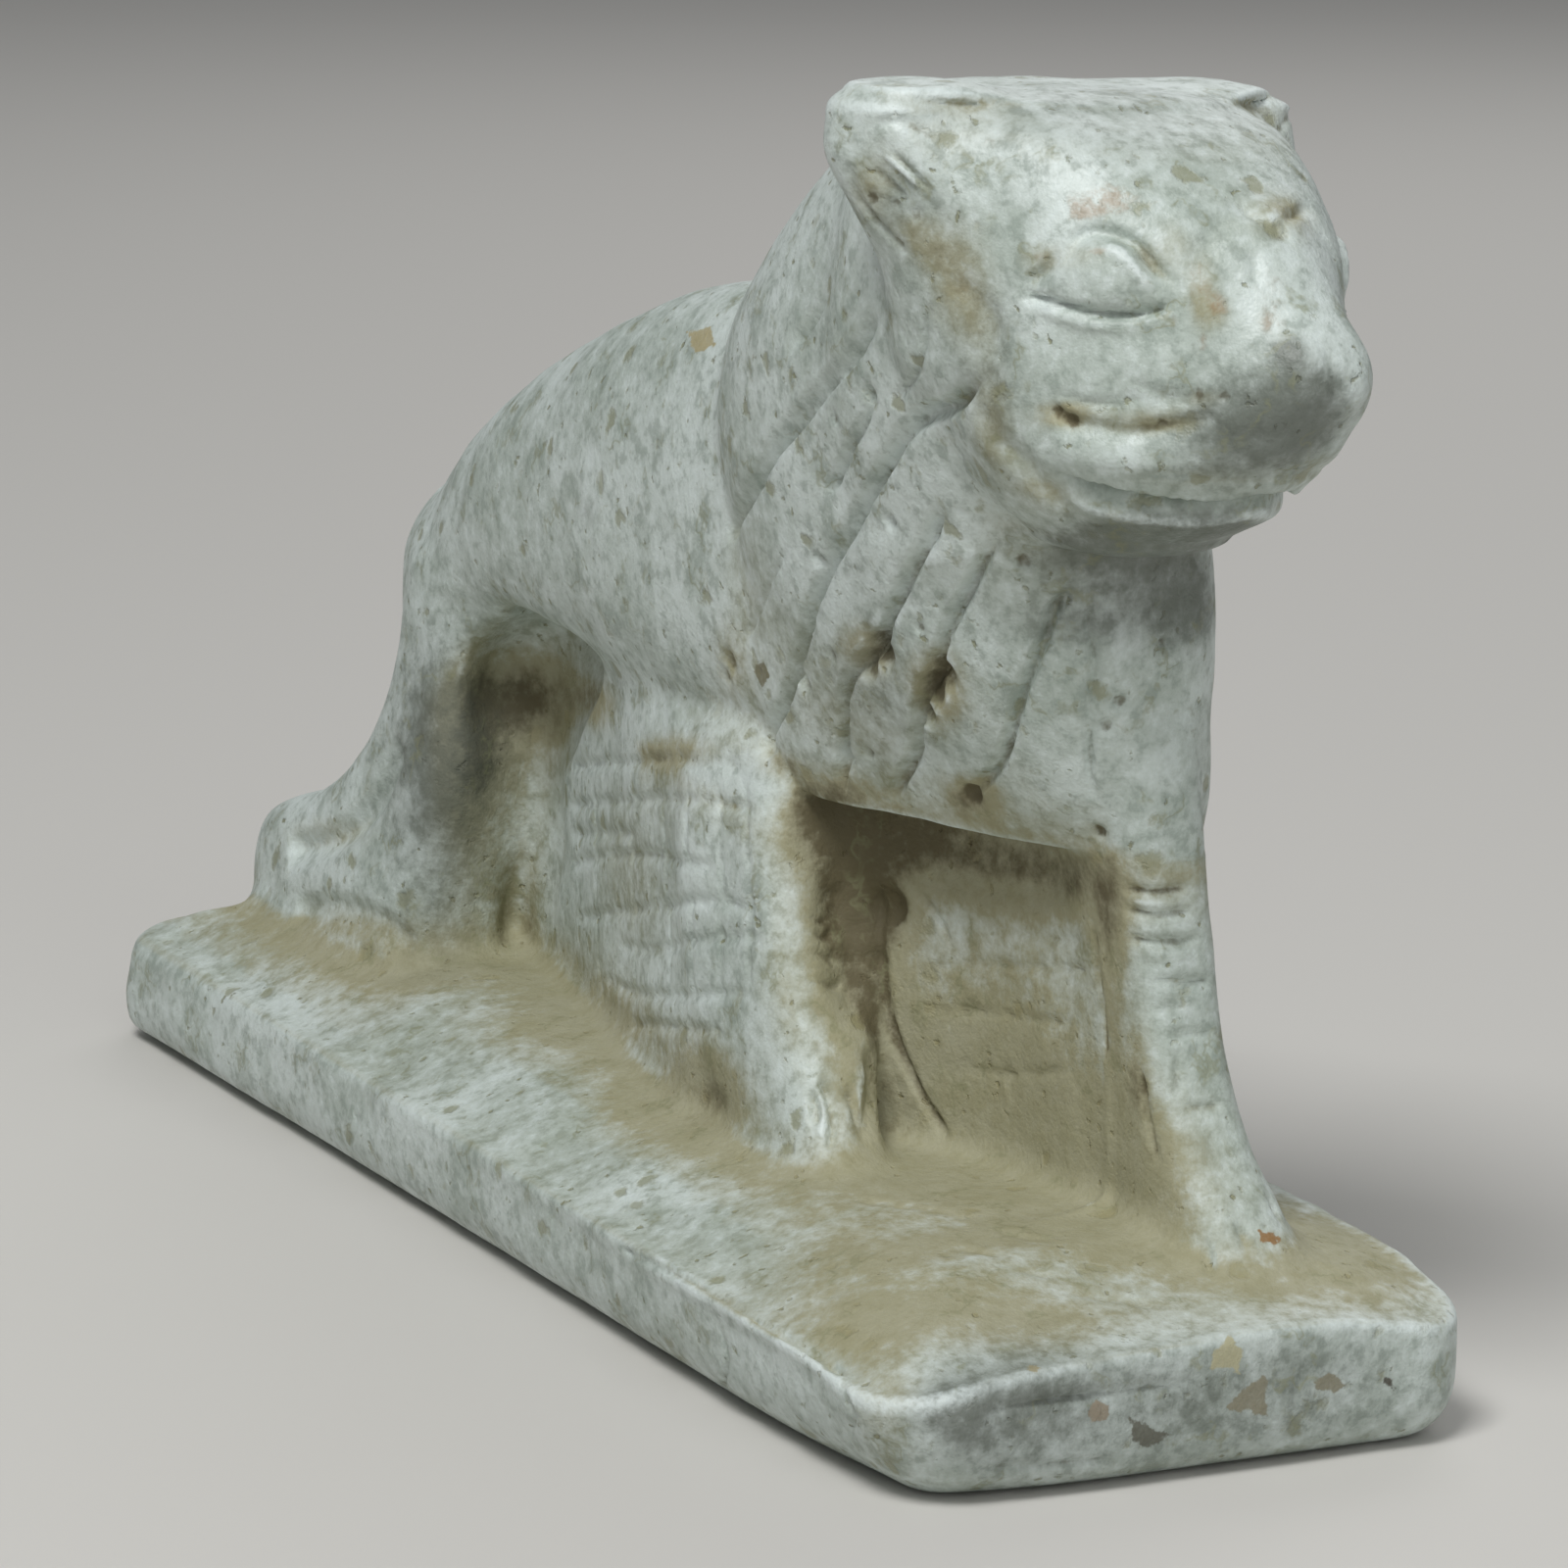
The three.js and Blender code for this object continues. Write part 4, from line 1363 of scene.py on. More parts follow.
class WearAndShade:
    """What the skin at each vertex has been through, and where shade is painted on it, as shares from 0 to 1.
    """

    NAMES = ("deep", "carved", "hollow", "worn", "soil", "earth_and_shade", "mud_and_shade", "rust", "smudge_and_shade")
    RUST = colour_patches(
        (1118, 208, 2.2, 0.9, 0.9), (1138, 200, 1.6, 0.9, 0.9), (1104, 214, 1.0, 0.8, 0.8),
        (1122, 257, 0.8, 0.3, 1.2), (1222, 284, 1.0, 1.2, 0.8), (1243, 312, 0.8, 0.9, 0.8),
        (1198, 328, 0.6, 0.5, 0.7), (1224, 352, 0.5, 0.5, 0.9), (1300, 300, 1.8, 2.4, 0.45),
        (1292, 330, 1.2, 0.8, 0.5), (983, 288, 1.6, 1.6, 0.4), (1294, 1262, 1.0, 0.5, 1.0),
        (1010, 146, 0.8, 0.8, 0.5), (1058, 263, 1.6, 0.5, 0.5),
    )
    # Grey patches: smudges on the muzzle and by the ear, and painted shade on the chin, throat, near hind
    # leg, head top and base front.
    SMUDGE_AND_SHADE = colour_patches(
        (1290, 420, 5.0, 4.0, 0.8), (1336, 440, 4.0, 4.0, 0.5), (1250, 430, 4.0, 3.0, 0.4),
        (1316, 360, 1.0, 1.2, 0.9), (1246, 470, 5.0, 2.2, 0.45), (1346, 400, 2.6, 4.0, 0.5),
        (970, 1436, 2.4, 1.6, 1.0), (985, 1452, 1.6, 1.8, 0.9), (600, 522, 1.6, 1.2, 0.55),
        (908, 212, 3.0, 2.2, 0.5), (1190, 556, 7.0, 1.8, 0.9), (1250, 540, 6.0, 1.8, 0.85),
        (1120, 560, 5.0, 2.6, 0.85), (1180, 590, 8.0, 3.4, 1.0), (1150, 1440, 14.0, 5.0, 0.62),
        (1350, 1410, 12.0, 5.0, 0.5), (1030, 1440, 6.0, 6.0, 0.62), (1130, 110, 16.0, 5.0, 0.5),
        (1000, 340, 4.0, 5.0, 0.35), (960, 250, 4.0, 3.0, 0.35), (1010, 430, 3.0, 6.0, 0.35),
        (1130, 640, 10.0, 2.0, 0.5), (1220, 620, 3.0, 4.0, 0.4), (440, 760, 6.0, 12.0, 0.8),
        (450, 900, 5.0, 10.0, 0.5), (480, 760, 6.0, 6.0, 0.35), (870, 640, 8.0, 10.0, 0.25),
        (900, 720, 7.0, 6.0, 0.3),
    )
    # Earthy patches: tan dirt on the ground, face and ears, and painted shadow in the groin under the belly
    # and below the mane's hem.
    EARTH_AND_SHADE = colour_patches(
        (530, 720, 5.0, 3.4, 1.0), (480, 760, 3.6, 6.0, 0.9), (610, 720, 5.0, 2.0, 0.8),
        (690, 768, 7.0, 1.4, 0.6), (470, 860, 2.4, 8.0, 0.5), (560, 700, 6.0, 4.0, 0.4),
        (880, 200, 1.8, 2.2, 0.35), (930, 240, 2.6, 2.0, 0.3), (980, 290, 2.6, 4.6, 0.3),
        (905, 160, 2.4, 2.4, 0.3), (1006, 420, 1.8, 4.0, 0.25), (1040, 476, 2.2, 2.2, 0.25),
        (1080, 505, 2.0, 1.4, 0.2), (1085, 422, 2.4, 1.0, 0.5), (1180, 428, 4.0, 1.0, 0.45),
        (1225, 288, 1.6, 2.6, 0.25), (1240, 320, 1.4, 1.4, 0.4), (1196, 250, 1.2, 2.0, 0.35),
        (1100, 262, 2.6, 1.2, 0.35), (1060, 262, 1.6, 1.2, 0.35), (1320, 215, 3.0, 1.6, 0.4),
        (870, 850, 4.0, 3.4, 1.0), (880, 930, 3.8, 6.0, 1.0), (960, 880, 6.0, 2.4, 0.9),
        (1060, 910, 7.0, 1.8, 0.8), (1130, 950, 1.6, 5.0, 0.6), (870, 1020, 2.4, 8.0, 0.8),
        (905, 1100, 2.4, 6.0, 0.7), (930, 1160, 3.0, 3.0, 0.6), (1030, 1000, 11.0, 11.0, 0.62),
        (1060, 1130, 12.0, 6.0, 0.7), (980, 1100, 6.0, 6.0, 0.6), (720, 1110, 7.0, 4.4, 0.9),
        (620, 1040, 12.0, 2.6, 0.6), (480, 985, 10.0, 2.2, 0.6), (360, 950, 9.0, 2.2, 0.5),
        (330, 850, 8.0, 1.8, 0.5), (640, 900, 12.0, 10.0, 0.4), (800, 1010, 3.0, 6.0, 0.3),
        (1090, 1225, 13.0, 4.0, 0.85), (980, 1185, 10.0, 2.8, 0.8), (1150, 1180, 5.0, 4.0, 0.8),
        (930, 1330, 11.0, 3.0, 0.6), (860, 1270, 5.0, 3.0, 0.4), (1400, 1300, 7.0, 2.4, 0.45),
        (1360, 1260, 5.0, 2.4, 0.5), (1060, 1350, 6.0, 1.6, 0.5), (820, 690, 5.0, 8.0, 0.3),
        (900, 750, 6.0, 4.0, 0.35), (880, 664, 2.4, 2.2, 0.7), (955, 700, 2.4, 3.0, 0.8),
        (1000, 812, 2.4, 1.8, 0.7), (745, 680, 2.0, 3.0, 0.5), (760, 590, 3.0, 8.0, 0.3),
        (880, 1360, 4.0, 2.0, 0.5), (900, 1440, 3.0, 4.0, 0.4), (700, 1360, 9.0, 3.0, 0.2),
    )
    # Muddy patches: dirt in pits, creases and clefts, and painted shadow under the belly, under the mane's
    # hem and on the near foreleg's front.
    MUD_AND_SHADE = colour_patches(
        (850, 830, 3.0, 2.4, 0.9), (872, 880, 4.0, 4.6, 1.0), (898, 930, 2.4, 3.2, 1.0),
        (860, 960, 2.6, 5.0, 0.7), (940, 856, 4.6, 2.0, 0.9), (1010, 880, 6.0, 1.8, 0.8),
        (1090, 900, 4.6, 2.0, 0.8), (1132, 930, 1.4, 3.4, 0.7), (890, 1020, 1.4, 5.0, 0.6),
        (535, 712, 4.0, 3.0, 0.9), (486, 742, 3.6, 4.4, 0.9), (600, 712, 4.0, 1.6, 0.8),
        (680, 762, 5.0, 1.0, 0.5), (472, 800, 2.0, 4.0, 0.6), (728, 1118, 4.6, 2.6, 0.6),
        (1161, 1110, 0.9, 4.6, 0.8), (1180, 1176, 0.9, 1.4, 0.6), (892, 665, 1.6, 1.6, 0.9),
        (955, 700, 1.6, 2.6, 0.9), (985, 815, 2.0, 1.4, 0.8), (974, 285, 2.0, 3.4, 0.5),
        (890, 195, 1.6, 2.4, 0.4), (930, 236, 2.0, 1.2, 0.5), (1086, 424, 2.0, 0.8, 0.7),
        (1230, 406, 1.6, 0.6, 0.6), (1170, 434, 3.0, 0.5, 0.5), (1225, 300, 0.8, 2.4, 0.4),
        (1318, 214, 2.4, 0.8, 0.4), (1172, 262, 1.0, 1.6, 0.5), (800, 780, 3.0, 1.0, 0.6),
        (860, 806, 3.0, 1.0, 0.6), (1010, 440, 1.6, 4.0, 0.5), (1060, 500, 2.0, 1.2, 0.45),
        (1000, 330, 2.0, 2.4, 0.4), (950, 262, 1.6, 1.2, 0.5), (905, 850, 5.0, 2.0, 0.6),
    )
    CLASTS = (
        Clast([(1252, 1362), (1272, 1378), (1264, 1400), (1234, 1400), (1236, 1382)], srgb(170, 166, 134)),
        Clast([(1292, 1399), (1293, 1444), (1244, 1438)], srgb(128, 124, 104)),
        Clast([(1152, 1446), (1170, 1450), (1192, 1464), (1170, 1478), (1154, 1470)], srgb(92, 92, 80)),
        Clast([(1120, 1428), (1135, 1432), (1130, 1450), (1112, 1452), (1110, 1440)], srgb(136, 126, 108)),
        Clast([(1338, 1408), (1362, 1400), (1376, 1414), (1366, 1424), (1340, 1422)], srgb(126, 122, 102)),
        Clast([(1410, 1402), (1424, 1406), (1422, 1418), (1410, 1414)], srgb(64, 58, 46)),
        Clast([(1284, 1254), (1306, 1260), (1304, 1274), (1288, 1266)], srgb(142, 106, 62)),
        Clast([(1050, 1392), (1066, 1394), (1060, 1402), (1048, 1400)], srgb(150, 142, 112)),
        Clast([(776, 672), (786, 690), (780, 700), (770, 684)], srgb(116, 112, 84)),
        Clast([(700, 338), (724, 332), (730, 352), (708, 360)], srgb(168, 158, 120)),
    )

    def __init__(self, carving: Carving) -> None:
        """Keeps the forms that the shares are read from.

        Args:
            carving: the relief.
        """
        self.carving = carving
        self.sight = carving.sight
        self.beast = carving.sight.beast

    @staticmethod
    def _hollow(points: Array, normals: Array, edges: Array, rounds: int) -> Array:
        """Curvature of the finished mesh, smoothed over its neighbours.

        Args:
            points: vertices.
            normals: their normals.
            edges: pairs of vertex numbers.
            rounds: how many times to smooth.

        Returns:
            Positive in hollows and negative on ridges, in one over mm.
        """
        a, b = edges.T
        size = len(points)
        count = np.bincount(a, minlength=size) + np.bincount(b, minlength=size)
        count = np.maximum(count, 1)
        gap = points[b] - points[a]
        square = np.maximum(np.sum(gap**2, axis=1), 1e-6)
        rise_a = np.sum(gap * normals[a], axis=1) / square
        rise_b = -np.sum(gap * normals[b], axis=1) / square
        bend = np.bincount(a, rise_a, size) + np.bincount(b, rise_b, size)
        bend = 2 * bend / count
        for _ in range(rounds):
            shared = np.bincount(a, bend[b], size) + np.bincount(b, bend[a], size)
            bend = 0.5 * bend + 0.5 * shared / count
        return bend

    def _patched(self, points: Array, colour_patches: Sequence[ColourPatch]) -> Array:
        """Adds up soft patches at the vertices.

        Args:
            points: vertices.
            colour_patches: the patches.

        Returns:
            One share for each vertex.
        """
        right, upright, _ = self.sight.outlook.axes()
        centres = self.sight.places([patch_of_colour.at for patch_of_colour in colour_patches])
        total = np.zeros(len(points))
        for patch_of_colour, centre in zip(colour_patches, centres):
            gap = points - centre
            across, along = gap @ right, gap @ upright
            depth = np.sum(gap**2, axis=1) - across**2 - along**2
            reach = 1.5 * max(patch_of_colour.wide, patch_of_colour.tall)
            size = (across / patch_of_colour.wide) ** 2 + (along / patch_of_colour.tall) ** 2 + depth / reach**2
            total += patch_of_colour.strength * np.where(size < 8, np.exp(-size), 0)
        return np.clip(total, 0, 1.2)

    def shares(self, points: Array, normals: Array, edges: Array) -> Dict[str, Array]:
        """Works out every share at the vertices.

        Args:
            points: vertices in the carver's frame.
            normals: the vertices' normals.
            edges: pairs of vertex numbers.

        Returns:
            One array for each attribute of the mesh.
        """
        skin, outward = self.beast.settle(points, 2)
        carved = self.carving.press(skin, outward)[1]
        deep = np.zeros(len(points))
        # How closed in each place is; it lays dark earthy colour in recesses that is partly dirt and partly
        # painted shade.
        for reach in (2.0, 5.0, 10.0):
            open_air = self.beast.distance(skin + outward * reach) / reach
            deep += (1 - np.clip(open_air, 0, 1)) / 3
        bend = self._hollow(points, normals, edges, 3)
        broad = self._hollow(points, normals, edges, 14)
        body = self.beast.figure(points)
        ground = smoothstep(16.5, 13, points[:, 2]) * smoothstep(0.4, 0.9, normals[:, 2])
        return {
            "deep": deep,
            "carved": carved,
            "hollow": smoothstep(0.05, 0.9, bend),
            "worn": smoothstep(0.08, 0.8, -bend) * 0.6 + smoothstep(0.05, 0.35, -broad) * 0.4,
            "soil": ground * np.exp(-np.maximum(body, 0) / 9.0),
            "earth_and_shade": self._patched(points, self.EARTH_AND_SHADE),
            "mud_and_shade": self._patched(points, self.MUD_AND_SHADE),
            "rust": self._patched(points, self.RUST),
            "smudge_and_shade": self._patched(points, self.SMUDGE_AND_SHADE),
        }


@dataclass
class Statue:
    """The statue's mesh and its attributes, made in the carver's frame and set in the CAD's."""

    sight: Sight
    name: str = "carved_lioness"
    fine: float = 0.42
    rough: float = 0.8
    most_faces: int = 188000
    quick_faces: int = 90000

    def _mesh(self, name: str, vertices: Array, faces: Array) -> bpy.types.Mesh:
        """Makes a Blender mesh from arrays.

        Args:
            name: the mesh's name.
            vertices: places, one row each.
            faces: vertex numbers of each quad.

        Returns:
            The mesh.
        """
        mesh = bpy.data.meshes.new(name)
        mesh.vertices.add(len(vertices))
        mesh.vertices.foreach_set("co", vertices.astype(np.float32).ravel())
        mesh.loops.add(faces.size)
        mesh.loops.foreach_set("vertex_index", faces.astype(np.int32).ravel())
        mesh.polygons.add(len(faces))
        starts = np.arange(len(faces), dtype=np.int32) * faces.shape[1]
        mesh.polygons.foreach_set("loop_start", starts)
        mesh.update(calc_edges=True)
        mesh.validate()
        return mesh

    def _thin(self, mesh: bpy.types.Mesh, most: int) -> bpy.types.Object:
        """Collapses the mesh to a number of triangles, most where it is flattest.

        Args:
            mesh: the fine mesh.
            most: triangles to keep.

        Returns:
            A new object with the thinned mesh.
        """
        whole = bpy.data.objects.new(self.name + "_fine", mesh)
        bpy.context.scene.collection.objects.link(whole)
        thin = whole.modifiers.new("thin", "DECIMATE")
        thin.ratio = min(1.0, most / (2.0 * len(mesh.polygons)))
        thin.use_collapse_triangulate = True
        graph = bpy.context.evaluated_depsgraph_get()
        result = bpy.data.meshes.new_from_object(whole.evaluated_get(graph))
        result.name = self.name
        bpy.data.objects.remove(whole)
        statue = bpy.data.objects.new(self.name, result)
        bpy.context.scene.collection.objects.link(statue)
        return statue

    def build(self) -> bpy.types.Object:
        """Makes the finished piece.

        Returns:
            The statue's object, in metres, in the frame's place.
        """
        beast = self.sight.beast
        carving = Carving(self.sight)
        cell = self.fine
        vertices, quads = Netting(beast, cell).build()
        LOG.info("net: %d vertices", len(vertices))
        skin, outward = beast.settle(vertices, 2)
        offset, _ = carving.press(skin, outward)
        points = np.clip(skin + outward * offset[:, None], beast.low, beast.high)
        points[skin[:, 2] < 0.05, 2] = 0.0
        most = self.most_faces
        statue = self._thin(self._mesh(self.name, points, quads), most)
        LOG.info("thinned: %d faces", len(statue.data.polygons))
        self._attributes(statue.data, WearAndShade(carving))
        self._place(statue.data, beast)
        return statue

    def _attributes(self, mesh: bpy.types.Mesh, surface_shares: WearAndShade) -> None:
        """Writes the shares of worn edges, dirt and painted shade onto the vertices.

        Args:
            mesh: the statue's mesh, still in mm.
            surface_shares: what works out the shares.
        """
        count = len(mesh.vertices)
        points = np.empty(count * 3, np.float32)
        normals = np.empty(count * 3, np.float32)
        edges = np.empty(len(mesh.edges) * 2, np.int32)
        mesh.vertices.foreach_get("co", points)
        mesh.vertices.foreach_get("normal", normals)
        mesh.edges.foreach_get("vertices", edges)
        shares = surface_shares.shares(
            points.reshape(-1, 3).astype(float), normals.reshape(-1, 3).astype(float), edges.reshape(-1, 2)
        )
        for name, values in shares.items():
            attribute = mesh.attributes.new(name, "FLOAT", "POINT")
            attribute.data.foreach_set("value", values.astype(np.float32))

    @staticmethod
    def _place(mesh: bpy.types.Mesh, beast: Beast) -> None:
        """Scales the mesh to metres and sets it in the frame.

        Args:
            mesh: the statue's mesh in mm.
            beast: holds the limits in the carver's frame.
        """
        shift = frame_shift(beast)
        mesh.transform(Matrix.Translation(shift) @ Matrix.Scale(MM, 4))
        mesh.polygons.foreach_set("use_smooth", np.ones(len(mesh.polygons), bool))
        mesh.update()


def frame_shift(beast: Beast) -> Vector:
    """Where the carver's origin stands in the frame.

    Args:
        beast: holds the limits in the carver's frame.

    Returns:
        The shift in metres.
    """
    low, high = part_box("lioness_statue")
    return Vector((low.x - beast.low[0] * MM, high.y - beast.high[1] * MM, 0.0))


class Value:
    """A number socket that can be used in a Python expression."""

    def __init__(self, shader: "Shader", socket: bpy.types.NodeSocket) -> None:
        """Wraps a socket.

        Args:
            shader: the node tree's writer.
            socket: the socket to read from.
        """
        self.shader = shader
        self.socket = socket

    def _math(self, operation: str, *others: Any) -> "Value":
        """Adds a Math node.

        Args:
            operation: the node's operation.
            others: values or numbers, in the order of the node's sockets.

        Returns:
            The node's result.
        """
        node = self.shader.node("ShaderNodeMath", {"operation": operation}, dict(enumerate(others)))
        return Value(self.shader, node.outputs[0])

    def __add__(self, other: Any) -> "Value":
        """Adds."""
        return self._math("ADD", self, other)

    __radd__ = __add__

    def __sub__(self, other: Any) -> "Value":
        """Takes away."""
        return self._math("SUBTRACT", self, other)

    def __rsub__(self, other: Any) -> "Value":
        """Takes away from a number."""
        return self._math("SUBTRACT", other, self)

    def __mul__(self, other: Any) -> "Value":
        """Multiplies."""
        return self._math("MULTIPLY", self, other)

    __rmul__ = __mul__

    def size(self) -> "Value":
        """Its size without its sign."""
        return self._math("ABSOLUTE", self)

    def least(self, other: Any) -> "Value":
        """The smaller of two."""
        return self._math("MINIMUM", self, other)

    def step(self, low: float, high: float) -> "Value":
        """Eases from 0 at low to 1 at high.

        Args:
            low: value where the result leaves 0.
            high: value where the result reaches 1.

        Returns:
            The eased share.
        """
        settings = {"interpolation_type": "SMOOTHSTEP"}
        rising = low < high
        inputs = {"Value": self, "From Min": min(low, high), "From Max": max(low, high),
                  "To Min": 0.0 if rising else 1.0, "To Max": 1.0 if rising else 0.0}
        node = self.shader.node("ShaderNodeMapRange", settings, inputs)
        return Value(self.shader, node.outputs[0])


class Shader:
    """Writes one material's nodes."""

    def __init__(self, name: str) -> None:
        """Starts an empty material.

        Args:
            name: the material's name.
        """
        self.material = bpy.data.materials.new(name)
        self.material.use_nodes = True
        self.tree = self.material.node_tree
        self.tree.nodes.clear()

    def node(self, kind: str, settings: Dict[str, Any], inputs: Dict[Any, Any]) -> bpy.types.Node:
        """Adds a node.

        Args:
            kind: the node's type.
            settings: properties set before the sockets.
            inputs: a value, wrapped value or socket for each socket's name or number.

        Returns:
            The node.
        """
        made = self.tree.nodes.new(kind)
        for key, value in settings.items():
            setattr(made, key, value)
        for key, value in inputs.items():
            if isinstance(value, Value):
                value = value.socket
            if isinstance(value, bpy.types.NodeSocket):
                self.tree.links.new(value, made.inputs[key])
            else:
                made.inputs[key].default_value = value
        return made

    def attribute(self, name: str) -> Value:
        """Reads a number from the mesh.

        Args:
            name: the attribute's name.

        Returns:
            Its value.
        """
        return Value(self, self.node("ShaderNodeAttribute", {"attribute_name": name}, {}).outputs["Fac"])

    def noise(self, place: bpy.types.NodeSocket, size: float, detail: float, rough: float = 0.55) -> Value:
        """Noise in mm.

        Args:
            place: the place in mm.
            size: size of the largest swell in mm.
            detail: how many finer layers it has.
            rough: how strong the finer layers are.

        Returns:
            A value round 0.5.
        """
        inputs = {"Vector": place, "Scale": 1 / size, "Detail": detail, "Roughness": rough}
        return Value(self, self.node("ShaderNodeTexNoise", {}, inputs).outputs[0])

    def spots(self, place: bpy.types.NodeSocket, size: float) -> Tuple[Value, Value]:
        """Scattered cells.

        Args:
            place: the place in mm.
            size: spacing in mm.

        Returns:
            Distance from the nearest cell's middle, and that cell's own random number.
        """
        inputs = {"Vector": place, "Scale": 1 / size, "Randomness": 1.0}
        made = self.node("ShaderNodeTexVoronoi", {}, inputs)
        split = self.node("ShaderNodeSeparateColor", {}, {0: made.outputs["Color"]})
        return Value(self, made.outputs["Distance"]), Value(self, split.outputs[0])

    def mix(self, share: Any, start: Any, end: Any) -> bpy.types.NodeSocket:
        """Mixes two colours.

        Args:
            share: how much of the second.
            start: first colour or socket.
            end: second colour or socket.

        Returns:
            The mixed colour.
        """
        made = self.node("ShaderNodeMix", {"data_type": "RGBA"}, {0: share, 6: start, 7: end})
        return made.outputs[2]

    def vector(self, operation: str, *parts: Any, output: int = 0) -> bpy.types.NodeSocket:
        """Adds a Vector Math node.

        Args:
            operation: the node's operation.
            parts: vectors or sockets, in the order of the node's sockets.
            output: number of the result's socket.

        Returns:
            The result.
        """
        made = self.node("ShaderNodeVectorMath", {"operation": operation}, dict(enumerate(parts)))
        return made.outputs[output]

    def past(self, place: bpy.types.NodeSocket, way: Array, start: Array) -> Value:
        """How far a place lies past a plane.

        Args:
            place: the place in mm.
            way: the plane's normal.
            start: a point of the plane.

        Returns:
            Distance in mm, negative behind the plane.
        """
        return Value(self, self.vector("DOT_PRODUCT", place, tuple(way), output=1)) - float(way @ start)


@dataclass(frozen=True)
class Grain:
    """The stone's own unevenness at four sizes, each a noise round 0.5, and the bent place."""

    cloud: Value
    patch: Value
    mottle: Value
    fine: Value
    bent: bpy.types.NodeSocket


@dataclass(frozen=True)
class Stone:
    """The pale grey-green stone, with old earthy dirt and painted shade in its hollows."""

    name: str = "pale_green_stone"
    clean: Colour = srgb(198, 208, 203)
    shade: Colour = srgb(150, 162, 150)
    grey: Colour = srgb(128, 140, 130)
    fleck: Colour = srgb(128, 130, 98)
    # Earthy colours for dirt on the ground and in hollows, also used as painted shade in recesses and under
    # overhangs.
    earth_and_shade: Colour = srgb(150, 143, 106)
    dark_earth_and_shade: Colour = srgb(90, 82, 58)
    pale: Colour = srgb(216, 226, 224)
    rust: Colour = srgb(150, 122, 90)
    # Dark grey for smudges, also used as painted shade on the chin, throat, near hind leg, head top and base
    # front.
    smudge_and_shade: Colour = srgb(90, 95, 86)

    @staticmethod
    def _grain(s: Shader, place: bpy.types.NodeSocket) -> Grain:
        """Writes the noises that the rest is made from.

        Args:
            s: the material's writer.
            place: the place in mm.

        Returns:
            The noises.
        """
        warp = s.node("ShaderNodeTexNoise", {}, {"Vector": place, "Scale": 0.4, "Detail": 1.0})
        bent = s.vector("MULTIPLY_ADD", warp.outputs["Color"], (2.2, 2.2, 2.2), place)
        return Grain(
            cloud=s.noise(place, 15, 3),
            patch=s.noise(place, 4.6, 4, 0.6),
            mottle=s.noise(place, 1.4, 3, 0.65),
            fine=s.noise(place, 0.5, 2, 0.6),
            bent=bent,
        )

    def _body(self, s: Shader, grain: Grain) -> bpy.types.NodeSocket:
        """Colours the clean stone, from broad clouds to pale mottles.

        Args:
            s: the material's writer.
            grain: the noises.

        Returns:
            The colour.
        """
        colour = s.mix(grain.cloud.step(0.4, 0.62) * 0.5, self.clean, self.shade)
        colour = s.mix(grain.patch.step(0.48, 0.68) * 0.4, colour, self.shade)
        colour = s.mix((grain.mottle + grain.patch * 0.4).step(0.68, 0.88) * 0.5, colour, self.grey)
        return s.mix((grain.mottle + grain.patch * 0.6).step(0.8, 0.56) * 0.45, colour, self.pale)

    @staticmethod
    def _flecks(s: Shader, grain: Grain) -> Tuple[Value, Value]:
        """Scatters large flecks and small specks.

        Args:
            s: the material's writer.
            grain: the noises.

        Returns:
            The share of flecks and the share of specks.
        """
        far, kind = s.spots(grain.bent, 4.6)
        flecks = (far + (grain.mottle - 0.5) * 0.6).step(0.24, 0.1) * kind.step(0.35, 0.5)
        far, kind = s.spots(grain.bent, 1.6)
        specks = (far + (grain.fine - 0.5) * 0.7).step(0.22, 0.04) * kind.step(0.3, 0.9)
        return flecks, specks

    @staticmethod
    def _earths_and_shade(signs: Dict[str, Value], grain: Grain, specks: Value) -> Tuple[Value, Value]:
        """Works out where earthy dirt lies thinly and heavily, partly as painted shade in recesses.

        Args:
            signs: the mesh's shares of worn edges, dirt and painted shade.
            grain: the noises.
            specks: the share of specks.

        Returns:
            The share of the film and of the heavy dark layer, both partly painted shade in recesses.
        """
        deep, mud_and_shade = signs["deep"], signs["mud_and_shade"]
        load = deep * 0.7 + signs["soil"] * 0.8 + signs["earth_and_shade"] * 0.95 + mud_and_shade * 0.6 + signs["hollow"] * 0.15
        film = (load * (grain.patch * 0.7 + grain.mottle * 1.3) + grain.cloud * 0.25).step(0.2, 0.95)
        load = (deep * 0.7 + mud_and_shade * 0.9 - 0.05) * (grain.patch * 0.8 + grain.mottle * 1.2)
        thick_earth_and_shade = load + signs["carved"] * (grain.mottle * 0.9 + 0.1) + specks * 0.15
        return film, thick_earth_and_shade.step(0.42, 1.15)

    def _marks(
        self, s: Shader, colour: bpy.types.NodeSocket, signs: Dict[str, Value], grain: Grain
    ) -> bpy.types.NodeSocket:
        """Adds rust, the smudges with their painted shade, and the veins.

        Args:
            s: the material's writer.
            colour: the colour so far.
            signs: the mesh's shares of worn edges, dirt and painted shade.
            grain: the noises.

        Returns:
            The colour.
        """
        rusty = (signs["rust"] * (grain.mottle * 1.6 + grain.fine - 0.75)).step(0.12, 0.7)
        colour = s.mix(rusty * 0.55, colour, self.rust)
        # Smudges, partly painted shade on the chin, throat, near hind leg, head top and base front.
        soot_and_shade = (signs["smudge_and_shade"] * (grain.mottle * 0.9 + grain.patch * 0.9 + 0.1)).step(0.0, 1.25)
        colour = s.mix(soot_and_shade * 0.85, colour, self.smudge_and_shade)
        veins = s.noise(grain.bent, 7.0, 4, 0.6)
        line = (0.5 - (veins - 0.5).size() * 18.0).step(0.0, 0.5) * grain.patch.step(0.5, 0.62)
        return s.mix(line * 0.5, colour, self.fleck)

